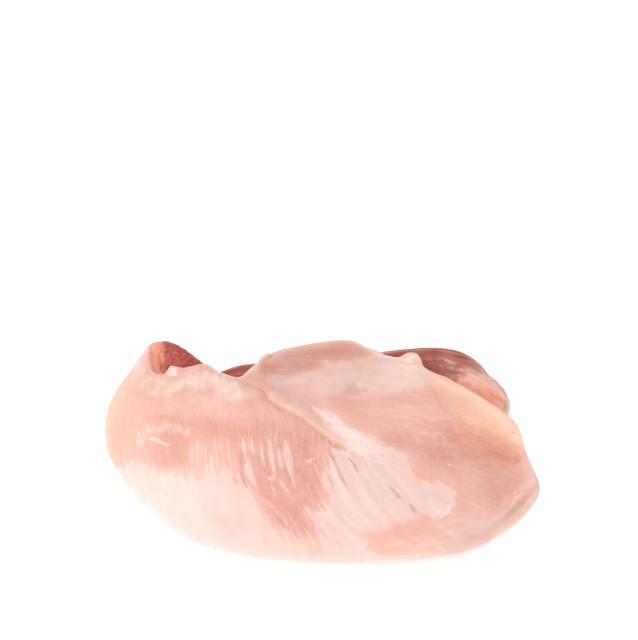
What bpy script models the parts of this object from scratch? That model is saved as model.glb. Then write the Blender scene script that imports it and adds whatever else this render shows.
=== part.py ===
"""Raw chicken breast fillet with its inner fillet, lying smooth side up.

Metres, +Z up. X runs from the blunt shoulder end to the thin tip and Y to
the back edge. The fillet lies on Z = 0 and the origin is under its middle.
Plan sizes below are millimetres from a point near the middle of the meat.
"""

import math

import bmesh
import bpy

MM = 0.001
TURN = 2.0 * math.pi

# Overall frame: the shift that puts the origin under the middle of the whole
ORIGIN_X = -1.55
ORIGIN_Y = 4.9

# Breast fillet: the centre its edge is measured from, and the scale of the edge
CENTRE = (-30.0, -2.0)
HALF_LENGTH = 85.0
HALF_WIDTH = 45.0

# Landmarks round the edge, from the tip towards the back: X, Y, the height of
# the widest point there, and how square the shoulder above it is
EDGE = (
    (83.0, -15.0, 6.0, 2.1),  # thin tip
    (81.0, -3.0, 10.5, 2.2),
    (75.0, 10.5, 14.0, 2.6),  # back edge, lying on the inner fillet
    (62.0, 22.0, 16.5, 3.2),
    (47.0, 32.0, 18.5, 3.8),
    (37.5, 39.5, 20.0, 3.8),
    (28.0, 41.5, 20.5, 3.4),
    (16.0, 47.5, 20.5, 3.2),
    (5.0, 48.0, 20.0, 2.8),
    (-8.0, 46.0, 19.0, 2.6),
    (-20.0, 42.0, 19.0, 2.8),
    (-28.0, 35.0, 19.0, 4.5),  # right bank of the shoulder notch
    (-34.0, 26.0, 19.5, 7.0),  # bottom of the notch
    (-42.0, 29.0, 19.5, 7.0),
    (-47.5, 33.5, 18.0, 6.0),
    (-52.5, 41.0, 16.5, 4.6),  # flank of the knob of cut meat behind the rim
    (-57.0, 47.0, 15.0, 3.8),
    (-63.0, 51.5, 14.0, 3.4),
    (-69.5, 51.5, 13.5, 3.0),
    (-73.5, 45.5, 13.0, 2.8),
    (-78.5, 36.5, 12.0, 2.6),
    (-84.0, 26.5, 10.5, 2.4),
    (-86.5, 14.5, 9.0, 2.3),  # blunt shoulder end
    (-85.0, 4.0, 8.5, 2.3),
    (-79.0, -7.5, 8.0, 2.3),
    (-70.0, -19.5, 7.5, 2.3),
    (-59.0, -30.0, 7.5, 2.3),
    (-47.0, -37.5, 7.5, 2.3),
    (-32.0, -42.0, 7.5, 2.3),  # thick front edge
    (-14.0, -44.5, 7.5, 2.3),
    (13.0, -45.4, 7.5, 2.3),
    (42.0, -43.0, 7.0, 2.3),
    (57.0, -39.0, 6.5, 2.2),
    (68.0, -32.0, 6.0, 2.1),
    (77.5, -23.5, 6.0, 2.1),
)
EDGE_STEPS = 1440
EDGE_SOFTNESS = 5  # steps each way, how far each landmark's corner is rounded
SHOULDER = 2.2  # roundness of the shoulder, seen from the end
SOLE = 5.0  # how far the flat sole reaches towards the edge
SOLE_LIFT = 0.35  # what the sole loses so that its middle is truly flat

# Crown of the breast fillet
CROWN_X = -25.0
CROWN_HEIGHT = 38.5
TIP_X = 86.0
TIP_HEIGHT = 11.5
TIP_FALL = 1.8
SHOULDER_X = -90.0
SHOULDER_FALL = 3.0
BACK_FALL = 7.0
BACK_FALL_FROM = 2.0
BACK_FALL_OVER = 44.0

# Seam between the two lobes, from the notch down to the front, in plan
SEAM = ((-26.0, 33.0), (-19.5, 14.5), (-13.0, 8.5), (-5.5, 2.0), (2.5, -4.5), (10.5, -11.0), (19.0, -15.5))
SEAM_DEPTH = 2.0
SEAM_WIDTH = 4.6
LOBE_SWELL = 1.5  # how much the lobe behind the seam stands above it
LOBE_REACH = 17.0

# Shelf of cut meat behind the rim of the shoulder end
SHELF_CENTRE = (-57.5, 46.0)
SHELF_RADII = (12.5, 16.0)
SHELF_DROP = 3.2
SHELF_EDGE = 0.5  # how wide the rim's slope is, as a share of the radii

# Crease and lip at the thin tip, and the crease behind it
LIP = ((79.0, -9.0), (73.5, -17.5), (68.5, -23.5), (66.0, -27.5))
LIP_DEPTH = 1.5
LIP_WIDTH = 2.6
CREASE = ((58.0, 3.0), (68.0, -2.5), (78.0, -6.0))
CREASE_DEPTH = 1.0
CREASE_WIDTH = 4.0

# Nub of fat on the back edge
NUB_CENTRE = (36.0, 37.0, 25.5)
NUB_RADIUS = 4.6
NUB_RISE = 2.4

# Inner fillet: a long flat strip under the back edge
STRIP_LINE = (
    (-52.0, 33.0),
    (-30.0, 35.0),
    (-5.0, 36.0),
    (20.0, 36.5),
    (48.0, 36.0),
    (61.0, 30.5),
    (72.5, 22.0),
)
STRIP_WIDTHS = (9.0, 12.5, 14.5, 16.0, 19.0, 12.5, 9.5)
STRIP_HEIGHTS = (8.5, 10.5, 12.0, 13.0, 13.0, 12.5, 11.0)
STRIP_END_SHARE = 0.16
STRIP_WAIST = 0.42  # height of the widest point, as a share of the thickness
STRIP_STATIONS = 44
STRIP_SIDES = 26
GAP = 0.5  # between the breast fillet and the inner fillet
HOLLOW_SKIRT = 12.0  # how far the hollow for the inner fillet runs out beside it

# Mesh of the breast fillet: cuts along X, Y and Z of the block it starts from
CUTS = (44, 28, 19)
NOTCH_ANGLE = math.radians(105.0)
NOTCH_SPREAD = math.radians(9.0)
NOTCH_FOCUS = 2.6


def clamp(value, low=0.0, high=1.0):
    return max(low, min(high, value))


def ease(value):
    """0 below 0, 1 above 1, and a smooth step between."""
    value = clamp(value)
    return value * value * (3.0 - 2.0 * value)


def bell(distance, width):
    return math.exp(-((distance / width) ** 2))


def blend_over(values, place):
    """A smooth curve through evenly spaced values, at place 0 to 1."""
    last = len(values) - 1
    where = clamp(place) * last
    i = min(int(where), last - 1)
    t = where - i
    before = values[max(i - 1, 0)]
    after = values[min(i + 2, last)]
    slope_in = 0.5 * (values[i + 1] - before)
    slope_out = 0.5 * (after - values[i])
    rise = values[i + 1] - values[i]
    bend = 3 * rise - 2 * slope_in - slope_out
    return values[i] + t * (slope_in + t * (bend + t * (slope_in + slope_out - 2 * rise)))


def near_line(line, x, y):
    """Distance to a line of points, the share of its length there, and the side: over 0 on the left."""
    best = (1e9, 0.0, 0.0)
    for i in range(len(line) - 1):
        ax, ay = line[i]
        dx, dy = line[i + 1][0] - ax, line[i + 1][1] - ay
        t = clamp(((x - ax) * dx + (y - ay) * dy) / (dx * dx + dy * dy))
        off_x, off_y = x - ax - t * dx, y - ay - t * dy
        distance = math.hypot(off_x, off_y)
        if distance < best[0]:
            best = (distance, (i + t) / (len(line) - 1), dx * off_y - dy * off_x)
    return best


def polar(x, y):
    """Angle and reach of a plan point about the centre, on the edge's scale."""
    u, v = (x - CENTRE[0]) / HALF_LENGTH, (y - CENTRE[1]) / HALF_WIDTH
    return math.atan2(v, u), math.hypot(u, v)


def tangent(before, after):
    """Slope at a landmark between two spans, each (length, slope), so that the curve never overshoots."""
    if before[1] * after[1] <= 0.0:
        return 0.0
    near, far = 2 * after[0] + before[0], after[0] + 2 * before[0]
    return (near + far) / (near / before[1] + far / after[1])


def round_the_edge(column):
    """A smooth closed table of one value of the landmarks, one for each step of angle."""
    marks = []
    for x, y, widest, square in EDGE:
        angle, reach = polar(x, y)
        marks.append((angle, (reach, widest, square)[column]))
    marks.sort()
    marks = [(marks[-1][0] - TURN, marks[-1][1])] + marks + [(marks[0][0] + TURN, marks[0][1])]
    steps = [(b[0] - a[0], (b[1] - a[1]) / (b[0] - a[0])) for a, b in zip(marks, marks[1:])]
    slopes = [0.0] + [tangent(a, b) for a, b in zip(steps, steps[1:])] + [0.0]
    slopes[0], slopes[-1] = slopes[-2], slopes[1]
    table = []
    i = 0
    for step in range(EDGE_STEPS):
        angle = -math.pi + TURN * step / EDGE_STEPS
        while marks[i + 1][0] < angle:
            i += 1
        span, rate = steps[i]
        t = (angle - marks[i][0]) / span
        curve = (3 * rate - 2 * slopes[i] - slopes[i + 1] + t * (slopes[i] + slopes[i + 1] - 2 * rate)) * t
        table.append(marks[i][1] + span * t * (slopes[i] + curve))
    for _ in range(2):
        near = range(-EDGE_SOFTNESS, EDGE_SOFTNESS + 1)
        table = [sum(table[(n + k) % EDGE_STEPS] for k in near) / len(near) for n in range(EDGE_STEPS)]
    return table


def look_up(table, angle):
    where = ((angle + math.pi) / TURN * EDGE_STEPS) % EDGE_STEPS
    i = int(where)
    t = where - i
    return table[i] * (1.0 - t) + table[(i + 1) % EDGE_STEPS] * t


def crown(x, y):
    """Height of the top surface before its edge is rounded."""
    along = clamp((x - CROWN_X) / (TIP_X - CROWN_X))
    height = CROWN_HEIGHT - (CROWN_HEIGHT - TIP_HEIGHT) * along**TIP_FALL
    height -= SHOULDER_FALL * clamp((CROWN_X - x) / (CROWN_X - SHOULDER_X)) ** 2
    height -= BACK_FALL * ease((y - BACK_FALL_FROM) / BACK_FALL_OVER) * (1.0 - 0.6 * along)
    return height


def relief(x, y):
    """What the seam, the lobes, the shelf and the creases add to the top surface."""
    away, share, side = near_line(SEAM, x, y)
    fade = ease(share * 5.0 + 0.4) * ease((1.0 - share) * 3.0)
    added = -SEAM_DEPTH * fade * bell(away, SEAM_WIDTH)
    if side > 0:
        added += LOBE_SWELL * fade * ease(away / 5.0) * (1.0 - ease((away - 5.0) / LOBE_REACH))
    away, share, side = near_line(LIP, x, y)
    added -= LIP_DEPTH * bell(away, LIP_WIDTH) * ease(share * 4.0 + 0.3) * ease((1.0 - share) * 4.0 + 0.2)
    away, share, side = near_line(CREASE, x, y)
    added -= CREASE_DEPTH * bell(away, CREASE_WIDTH) * ease(share * 2.0)
    out = math.hypot((x - SHELF_CENTRE[0]) / SHELF_RADII[0], (y - SHELF_CENTRE[1]) / SHELF_RADII[1])
    added -= SHELF_DROP * ease((1.15 - out) / SHELF_EDGE)
    return added


def strip_size(share):
    """Half width and thickness of the inner fillet, rounded off at both ends."""
    end = clamp(min(share, 1.0 - share) / STRIP_END_SHARE)
    rounding = math.sqrt(max(0.0, 1.0 - (1.0 - end) ** 2.4))
    return blend_over(STRIP_WIDTHS, share) * rounding, blend_over(STRIP_HEIGHTS, share) * rounding**0.6


def hollow(x, y):
    """Height that the breast fillet's underside keeps above the inner fillet."""
    away, share, side = near_line(STRIP_LINE, x, y)
    width, _ = strip_size(share)
    height = blend_over(STRIP_HEIGHTS, share) + GAP
    return height * ease((width + HOLLOW_SKIRT - 1.0 - away) / HOLLOW_SKIRT)


def block(cuts):
    """A cube cut into a grid by a number of cuts for each axis."""
    grid = bmesh.new()
    bmesh.ops.create_cube(grid, size=2.0)
    for axis in range(3):
        along = [e for e in grid.edges if abs(e.verts[0].co[axis] - e.verts[1].co[axis]) > 1.0]
        bmesh.ops.subdivide_edges(grid, edges=along, cuts=cuts[axis], use_grid_fill=True)
    return grid


def ball_direction(co):
    """The point of a unit ball for a point of the cube, evenly spread."""
    u, v, w = (math.tan(c * math.pi / 4.0) for c in co)
    length = math.sqrt(u * u + v * v + w * w)
    return u / length, v / length, w / length


def focus_table():
    """Angles that gather the mesh's columns round the notch."""
    total = 0.0
    table = []
    for step in range(EDGE_STEPS + 1):
        table.append(total)
        angle = -math.pi + TURN * step / EDGE_STEPS
        total += 1.0 + NOTCH_FOCUS * bell(angle - NOTCH_ANGLE, NOTCH_SPREAD)
    return [TURN * value / table[-1] - math.pi for value in table]


def focused(table, angle):
    low, high = 0, EDGE_STEPS
    while high - low > 1:
        middle = (low + high) // 2
        if table[middle] <= angle:
            low = middle
        else:
            high = middle
    t = (angle - table[low]) / (table[high] - table[low])
    return -math.pi + TURN * (low + clamp(t)) / EDGE_STEPS


def breast_fillet():
    """The large muscle: a grid block drawn out to its edge, its crown and its sole."""
    reach, widest, square = (round_the_edge(column) for column in range(3))
    gather = focus_table()
    mesh = block(CUTS)
    for vert in mesh.verts:
        a, b, c = ball_direction(vert.co)
        angle = focused(gather, math.atan2(b, a))
        out = math.hypot(a, b) ** 0.8
        far = look_up(reach, angle) * out
        x = CENTRE[0] + HALF_LENGTH * far * math.cos(angle)
        y = CENTRE[1] + HALF_WIDTH * far * math.sin(angle)
        waist = look_up(widest, angle)
        if c >= 0.0:
            swell = max(0.0, 1.0 - out ** look_up(square, angle)) ** (1.0 / SHOULDER)
            z = waist + (crown(x, y) + relief(x, y) - waist) * swell
        else:
            z = waist * (1.0 - math.sqrt(max(0.0, 1.0 - out**SOLE))) - SOLE_LIFT
            z = max(z, hollow(x, y), 0.0)
        from_nub = math.dist((x, y, z), NUB_CENTRE)
        rise = NUB_RISE * bell(from_nub, NUB_RADIUS) if c > -0.1 else 0.0
        vert.co = (x, y + 0.7 * rise, z + 0.7 * rise)
    return mesh


def strip_centre(share):
    x = blend_over([p[0] for p in STRIP_LINE], share)
    y = blend_over([p[1] for p in STRIP_LINE], share)
    return x, y


def inner_fillet():
    """The small muscle: a round bar drawn out along its line and flattened."""
    mesh = bmesh.new()
    bmesh.ops.create_uvsphere(mesh, u_segments=STRIP_SIDES, v_segments=STRIP_STATIONS, radius=1.0)
    for vert in mesh.verts:
        side, up, along = vert.co
        ring = math.hypot(side, up)
        share = 0.5 + math.asin(clamp(along, -1.0, 1.0)) / math.pi
        width, height = strip_size(share)
        x, y = strip_centre(share)
        ahead, behind = strip_centre(share + 0.01), strip_centre(share - 0.01)
        dx, dy = ahead[0] - behind[0], ahead[1] - behind[1]
        length = math.hypot(dx, dy)
        across = side / ring * width if ring > 1e-6 else 0.0
        lift = up / ring if ring > 1e-6 else 0.0
        waist = STRIP_WAIST * height
        if lift >= 0.0:
            z = waist + (height - waist) * lift**0.8
        else:
            z = max(0.0, waist * (1.0 - (-lift) ** 0.55) - 0.2)
        across *= abs(side / ring) ** -0.15 if ring > 1e-6 and abs(side / ring) > 1e-3 else 1.0
        vert.co = (x - across * dy / length, y + across * dx / length, z)
    return mesh


def coloured(name, colour, roughness):
    material = bpy.data.materials.new(name)
    material.use_nodes = True
    shader = material.node_tree.nodes["Principled BSDF"]
    shader.inputs["Base Color"].default_value = colour
    shader.inputs["Roughness"].default_value = roughness
    shader.inputs["Metallic"].default_value = 0.0
    return material


def placed(name, mesh, material, home):
    """The finished mesh as an object in metres, moved to the part's own frame."""
    bmesh.ops.scale(mesh, vec=(MM, MM, MM), verts=mesh.verts)
    bmesh.ops.recalc_face_normals(mesh, faces=mesh.faces)
    data = bpy.data.meshes.new(name)
    mesh.to_mesh(data)
    mesh.free()
    data.shade_smooth()
    data.materials.append(material)
    item = bpy.data.objects.new(name, data)
    item.location = (-ORIGIN_X * MM, -ORIGIN_Y * MM, 0.0)
    home.objects.link(item)


def main():
    for item in list(bpy.data.objects):
        bpy.data.objects.remove(item, do_unlink=True)
    home = bpy.data.collections.new("chicken_breast")
    bpy.context.scene.collection.children.link(home)
    meat = coloured("breast_meat", (0.80, 0.50, 0.40, 1.0), 0.35)
    inner = coloured("inner_meat", (0.74, 0.36, 0.28, 1.0), 0.35)
    placed("breast_fillet", breast_fillet(), meat, home)
    placed("inner_fillet", inner_fillet(), inner, home)


main()
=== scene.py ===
"""Raw chicken breast with its inner fillet, dressed for its portrait.

The meat lies smooth side up. Plan sizes are millimetres from a point near
the middle of the meat, and each finished mesh is moved into the frame.
"""

import math

import bmesh
import bpy
import numpy as np
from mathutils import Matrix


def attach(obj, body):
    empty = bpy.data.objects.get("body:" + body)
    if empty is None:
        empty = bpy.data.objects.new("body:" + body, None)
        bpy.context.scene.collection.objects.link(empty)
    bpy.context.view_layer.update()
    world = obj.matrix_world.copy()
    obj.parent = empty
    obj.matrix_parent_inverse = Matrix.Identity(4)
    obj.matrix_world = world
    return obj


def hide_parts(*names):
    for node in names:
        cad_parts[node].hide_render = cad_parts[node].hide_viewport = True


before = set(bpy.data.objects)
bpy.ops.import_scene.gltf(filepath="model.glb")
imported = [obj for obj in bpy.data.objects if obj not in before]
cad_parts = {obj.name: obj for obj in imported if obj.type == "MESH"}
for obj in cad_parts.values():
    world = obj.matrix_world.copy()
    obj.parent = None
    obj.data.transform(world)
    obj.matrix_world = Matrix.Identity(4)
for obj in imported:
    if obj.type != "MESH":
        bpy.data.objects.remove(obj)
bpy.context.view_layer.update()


# Breast fillet: the large muscle of one side of the bird, trimmed of skin and
# bone. It is soft wet meat, cut round with a knife, and it sags onto its sole.
MM = 0.001
TURN = 2 * math.pi
PLAN_ORIGIN = (-1.55, 4.9)  # the plan point that lies over the frame's origin

# The outline: the point it is measured from, its scale, and its landmarks,
# each with the height of the widest point there and how square the shoulder is
CENTRE = (-30, -2)
HALF_LENGTH = 85
HALF_WIDTH = 45
EDGE = (
    (83.4, -15, 6, 2.1),  # thin tip
    (80.4, -4, 10.3, 2.2),
    (78, 2.8, 12, 2.4),
    (75.9, 11.5, 14, 2.6),  # back edge, lying on the inner fillet
    (62.6, 23, 16.5, 3.2),
    (47.2, 32.6, 18.5, 3.8),
    (37.5, 39.5, 20, 3.8),
    (28, 41.5, 20.5, 3.4),
    (16, 47.5, 20.5, 3.2),
    (5, 48, 20, 2.8),
    (-8, 46, 19, 2.6),
    (-20, 42, 19, 2.8),
    (-27.2, 34.2, 19, 4.5),  # right bank of the shoulder notch
    (-33.2, 25, 19.5, 7),  # bottom of the notch
    (-41.8, 28.4, 19.5, 7),
    (-47.5, 33.5, 18, 6),
    (-52.5, 41, 16.5, 4.6),  # flank of the knob of cut meat behind the rim
    (-57, 47, 15, 3.8),
    (-63, 51.5, 14, 3.4),
    (-69.5, 51.5, 13.5, 3),
    (-73.5, 45.5, 13, 2.8),
    (-78.5, 36.5, 12, 2.6),
    (-84, 26.5, 10.5, 2.4),
    (-86.5, 14.5, 9, 2.3),  # blunt shoulder end
    (-85, 4, 8.5, 2.3),
    (-79, -7.5, 8, 2.3),
    (-70, -19.5, 7.5, 2.3),
    (-59, -30, 7.5, 2.3),
    (-47, -37.5, 7.5, 2.3),
    (-32, -41.7, 7.5, 2.3),  # thick front edge
    (-14, -44.1, 7.5, 2.3),
    (13, -45, 7.5, 2.3),
    (42, -43, 7, 2.3),
    (57, -39, 6.5, 2.2),
    (68, -32, 6, 2.1),
    (77.5, -23.5, 6, 2.1),
)
TINY = 1e-9
EDGE_STEPS = 1440
EDGE_SOFTNESS = 5
SHOULDER = 2.2
SOLE = 5
SOLE_LIFT = 0.35

CROWN_X = -25
CROWN_HEIGHT = 38.5
TIP_X = 86
TIP_HEIGHT = 11.5
TIP_FALL = 1.8
SHOULDER_X = -90
SHOULDER_FALL = 3
BACK_FALL = 7
BACK_FALL_FROM = 2
BACK_FALL_OVER = 44
BACK_FALL_EASED = 0.6  # share of that fall that is gone at the tip

SEAM = ((-26, 33), (-19.5, 14.5), (-13, 8.5), (-5.5, 2), (2.5, -4.5), (10.5, -11), (19, -15.5))
SEAM_DEPTH = 2
SEAM_WIDTH = 4.6
LOBE_SWELL = 1.5
LOBE_REACH = 17
SHELF_RIM = (
    (-72, 60), (-69.8, 46), (-69.3, 40), (-68.3, 34.7), (-67.2, 29.3), (-65.2, 26.6), (-62.6, 25.6),
    (-61.3, 28.1), (-60.6, 30.3), (-58.2, 29.3), (-54.6, 27.5), (-50, 27.4), (-45.5, 29.5), (-44, 36),
    (-48, 60),
)
SHELF_DROP = 3.4
SHELF_SLOPE = 1.6
LIP = ((79, -9), (73.5, -17.5), (68.5, -23.5), (66, -27.5))
LIP_DEPTH = 0.7
LIP_WIDTH = 2.6
CREASE = ((54, -1.9), (60, -2.7), (66, -2.9), (71, -3.3), (76.5, -4.4), (80, -5.6))
CREASE_DEPTH = 0.9
CREASE_WIDTH = 3.2
NUB_CENTRE = (36, 37, 25.5)
NUB_RADIUS = 4.6
NUB_RISE = 2.4
NUB_LEAN = 0.7  # share of its rise that goes up, and as much back

STRIP_LINE = ((-52, 33), (-30, 35), (-5, 36), (20, 36.5), (48, 36), (61, 30.5), (72.5, 22))
STRIP_WIDTHS = (9, 12.5, 14.5, 16, 19, 12.5, 9.5)
STRIP_HEIGHTS = (8.5, 10.5, 12, 13, 13, 12.5, 11)
STRIP_END_SHARE = 0.16
STRIP_END_ROUND = 2.4
GAP = 0.5
HOLLOW_SKIRT = 12

# The mesh: cells of the first block along X, Y and Z, how many times finer its
# top and sides are, and where round the edge its columns gather
BLOCK = (75, 43, 8)
FINER = 4
EQUATOR = 0.25  # share of the side layers that lie below the widest point
DOME_SHARE = 0.8  # how far out the block's upper face reaches
NOTCH_ANGLE = math.radians(105)
NOTCH_SPREAD = math.radians(9)
NOTCH_FOCUS = 1.6


def ease(value):
    """0 below 0, 1 above 1, and a smooth step between."""
    value = np.clip(value, 0, 1)
    return value * value * (3 - 2 * value)


def bell(distance, width):
    return np.exp(-((distance / width) ** 2))


def blend_over(values, place):
    """A smooth curve through evenly spaced values, at place 0 to 1."""
    values = np.asarray(values, float)
    last = len(values) - 1
    where = np.clip(place, 0, 1) * last
    i = np.minimum(where.astype(int), last - 1)
    t = where - i
    here, after = values[i], values[i + 1]
    slope_in = 0.5 * (after - values[np.maximum(i - 1, 0)])
    slope_out = 0.5 * (values[np.minimum(i + 2, last)] - here)
    rise = after - here
    bend = 3 * rise - 2 * slope_in - slope_out
    return here + t * (slope_in + t * (bend + t * (slope_in + slope_out - 2 * rise)))


def near_line(line, at):
    """Distance to a line of points, the share of its length there, and the side: over 0 on the left."""
    x, y = at
    best = np.full(x.shape, np.inf)
    share = np.zeros(x.shape)
    side = np.zeros(x.shape)
    for i in range(len(line) - 1):
        ax, ay = line[i]
        dx, dy = line[i + 1][0] - ax, line[i + 1][1] - ay
        t = np.clip(((x - ax) * dx + (y - ay) * dy) / (dx * dx + dy * dy), 0, 1)
        off_x, off_y = x - ax - t * dx, y - ay - t * dy
        away = np.hypot(off_x, off_y)
        nearer = away < best
        best = np.where(nearer, away, best)
        share = np.where(nearer, (i + t) / (len(line) - 1), share)
        side = np.where(nearer, dx * off_y - dy * off_x, side)
    return best, share, side


def inside(outline, at, soft, grit=0):
    """1 inside a closed outline and 0 outside it, with a slope across the line that grit breaks up."""
    x, y = at
    away, _, _ = near_line(outline + outline[:1], at)
    crossings = np.zeros(x.shape, int)
    for (ax, ay), (bx, by) in zip(outline, outline[1:] + outline[:1]):
        over = (ay > y) != (by > y)
        crossings += over & (x < ax + (bx - ax) * (y - ay) / (by - ay + TINY))
    signed = np.where(crossings % 2 == 1, away, -away)
    return ease(0.5 + signed / soft + grit * (1 - np.minimum(away / (1.5 * soft), 1)))


def round_the_edge(column):
    """A smooth closed table of one value of the landmarks, one for each step of angle."""
    marks = []
    for x, y, widest, square in EDGE:
        u, v = (x - CENTRE[0]) / HALF_LENGTH, (y - CENTRE[1]) / HALF_WIDTH
        marks.append((math.atan2(v, u), (math.hypot(u, v), widest, square)[column]))
    marks.sort()
    marks = [(marks[-1][0] - TURN, marks[-1][1])] + marks + [(marks[0][0] + TURN, marks[0][1])]
    angles = np.array([m[0] for m in marks])
    values = np.array([m[1] for m in marks])
    span = np.diff(angles)
    rate = np.diff(values) / span
    slopes = np.zeros(len(marks))
    for i in range(1, len(marks) - 1):
        if rate[i - 1] * rate[i] > 0:
            near, far = 2 * span[i] + span[i - 1], span[i] + 2 * span[i - 1]
            slopes[i] = (near + far) / (near / rate[i - 1] + far / rate[i])
    slopes[0], slopes[-1] = slopes[-2], slopes[1]
    grid = -math.pi + TURN * np.arange(EDGE_STEPS) / EDGE_STEPS
    i = np.searchsorted(angles, grid, side="right") - 1
    t = (grid - angles[i]) / span[i]
    bend = slopes[i] + slopes[i + 1] - 2 * rate[i]
    curve = (3 * rate[i] - 2 * slopes[i] - slopes[i + 1] + t * bend) * t
    table = values[i] + span[i] * t * (slopes[i] + curve)
    for _ in range(2):
        near = range(-EDGE_SOFTNESS, EDGE_SOFTNESS + 1)
        table = sum(np.roll(table, k) for k in near) / len(near)
    return table


def look_up(table, angle):
    where = ((angle + math.pi) / TURN * EDGE_STEPS) % EDGE_STEPS
    i = where.astype(int) % EDGE_STEPS
    t = where - np.floor(where)
    return table[i] * (1 - t) + table[(i + 1) % EDGE_STEPS] * t


def crown(at):
    """Height of the top surface before its edge is rounded."""
    x, y = at
    along = np.clip((x - CROWN_X) / (TIP_X - CROWN_X), 0, 1)
    height = CROWN_HEIGHT - (CROWN_HEIGHT - TIP_HEIGHT) * along**TIP_FALL
    height = height - SHOULDER_FALL * np.clip((CROWN_X - x) / (CROWN_X - SHOULDER_X), 0, 1) ** 2
    return height - BACK_FALL * ease((y - BACK_FALL_FROM) / BACK_FALL_OVER) * (1 - BACK_FALL_EASED * along)


def broad_relief(at):
    """What the seam, the lobes, the shelf and the creases add to the top surface."""
    away, share, side = near_line(SEAM, at)
    fade = ease(share * 5 + 0.4) * ease((1 - share) * 3) * (0.35 + 0.65 * ease((share - 0.3) / 0.3))
    added = -SEAM_DEPTH * fade * bell(away, SEAM_WIDTH)
    swell = LOBE_SWELL * fade * ease(away / 5) * (1 - ease((away - 5) / LOBE_REACH))
    added = added + np.where(side > 0, swell, 0)
    away, share, _ = near_line(LIP, at)
    added -= LIP_DEPTH * bell(away, LIP_WIDTH) * ease(share * 4 + 0.3) * ease((1 - share) * 4 + 0.2)
    away, share, _ = near_line(CREASE, at)
    added -= CREASE_DEPTH * bell(away, CREASE_WIDTH) * ease(share * 2)
    return added - SHELF_DROP * inside(SHELF_RIM, at, SHELF_SLOPE)


def strip_end(share):
    """How near an end of the inner fillet a place is, and how far it is rounded off there."""
    end = np.clip(np.minimum(share, 1 - share) / STRIP_END_SHARE, 0, 1)
    return end, np.sqrt(np.maximum(0, 1 - (1 - end) ** STRIP_END_ROUND))


def hollow(at):
    """Height that the underside keeps above the inner fillet."""
    away, share, _ = near_line(STRIP_LINE, at)
    width = blend_over(STRIP_WIDTHS, share) * strip_end(share)[1]
    height = blend_over(STRIP_HEIGHTS, share) + GAP
    return height * ease((width + HOLLOW_SKIRT - 1 - away) / HOLLOW_SKIRT)


def fine_block():
    """A cube cut into a grid, its top and sides cut finer than its underside."""
    grid = bmesh.new()
    bmesh.ops.create_cube(grid, size=2.0)
    for axis in range(3):
        along = [e for e in grid.edges if abs(e.verts[0].co[axis] - e.verts[1].co[axis]) > 1]
        bmesh.ops.subdivide_edges(grid, edges=along, cuts=BLOCK[axis] - 1, use_grid_fill=True)
    grid.faces.ensure_lookup_table()
    upper = [f for f in grid.faces if f.calc_center_median().z > -0.999]
    edges = list({e for f in upper for e in f.edges})
    bmesh.ops.subdivide_edges(grid, edges=edges, cuts=FINER - 1, use_grid_fill=True)
    return grid


def points_of(mesh):
    flat = np.empty(len(mesh.vertices) * 3)
    mesh.vertices.foreach_get("co", flat)
    return flat.reshape(-1, 3)


def normals_of(mesh):
    flat = np.empty(len(mesh.vertices) * 3, np.float32)
    mesh.vertex_normals.foreach_get("vector", flat)
    return flat.reshape(-1, 3).astype(float)


def set_points(mesh, points):
    mesh.vertices.foreach_set("co", points.ravel())
    mesh.update()


grid = fine_block()
breast_mesh = bpy.data.meshes.new("breast_meat")
grid.to_mesh(breast_mesh)
grid.free()

cube = points_of(breast_mesh)
layer = (cube[:, 2] + 1) / 2
cube[:, 2] = np.where(layer < EQUATOR, layer / EQUATOR - 1, (layer - EQUATOR) / (1 - EQUATOR))
ball = np.tan(cube * math.pi / 4)
ball /= np.linalg.norm(ball, axis=1)[:, None]
flat_reach = np.hypot(ball[:, 0], ball[:, 1])
down = np.arctan2(flat_reach, np.abs(ball[:, 2])) / (math.pi / 2)
out = np.where(down < 0.5, 2 * DOME_SHARE * down, 1 - (1 - DOME_SHARE) * (2 - 2 * down) ** 2)
grid_angles = -math.pi + TURN * np.arange(EDGE_STEPS + 1) / EDGE_STEPS
crowding = np.cumsum(1 + NOTCH_FOCUS * bell(grid_angles - NOTCH_ANGLE, NOTCH_SPREAD))
crowding = (crowding - crowding[0]) / (crowding[-1] - crowding[0]) * TURN - math.pi
angle = np.interp(np.arctan2(ball[:, 1], ball[:, 0]), crowding, grid_angles)
reach, widest, square = (round_the_edge(column) for column in range(3))
far = look_up(reach, angle) * out
plan_x = CENTRE[0] + HALF_LENGTH * far * np.cos(angle)
plan_y = CENTRE[1] + HALF_WIDTH * far * np.sin(angle)
plan = plan_x, plan_y
waist = look_up(widest, angle)
swell = np.maximum(0, 1 - out ** look_up(square, angle)) ** (1 / SHOULDER)
top = waist + (crown(plan) + broad_relief(plan) - waist) * swell
sole = waist * (1 - np.sqrt(np.maximum(0, 1 - out**SOLE))) - SOLE_LIFT
sole = np.maximum(np.maximum(sole, hollow(plan)), 0)
above = ball[:, 2] >= 0
height = np.where(above, top, sole)
from_nub = np.linalg.norm(np.stack([plan_x, plan_y, height], 1) - NUB_CENTRE, axis=1)
nub = np.where(ball[:, 2] > -0.1, NUB_RISE * bell(from_nub, NUB_RADIUS), 0)
body = np.stack([plan_x, plan_y + NUB_LEAN * nub, height + NUB_LEAN * nub], 1)
set_points(breast_mesh, body)
breast_mesh.shade_smooth()


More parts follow.
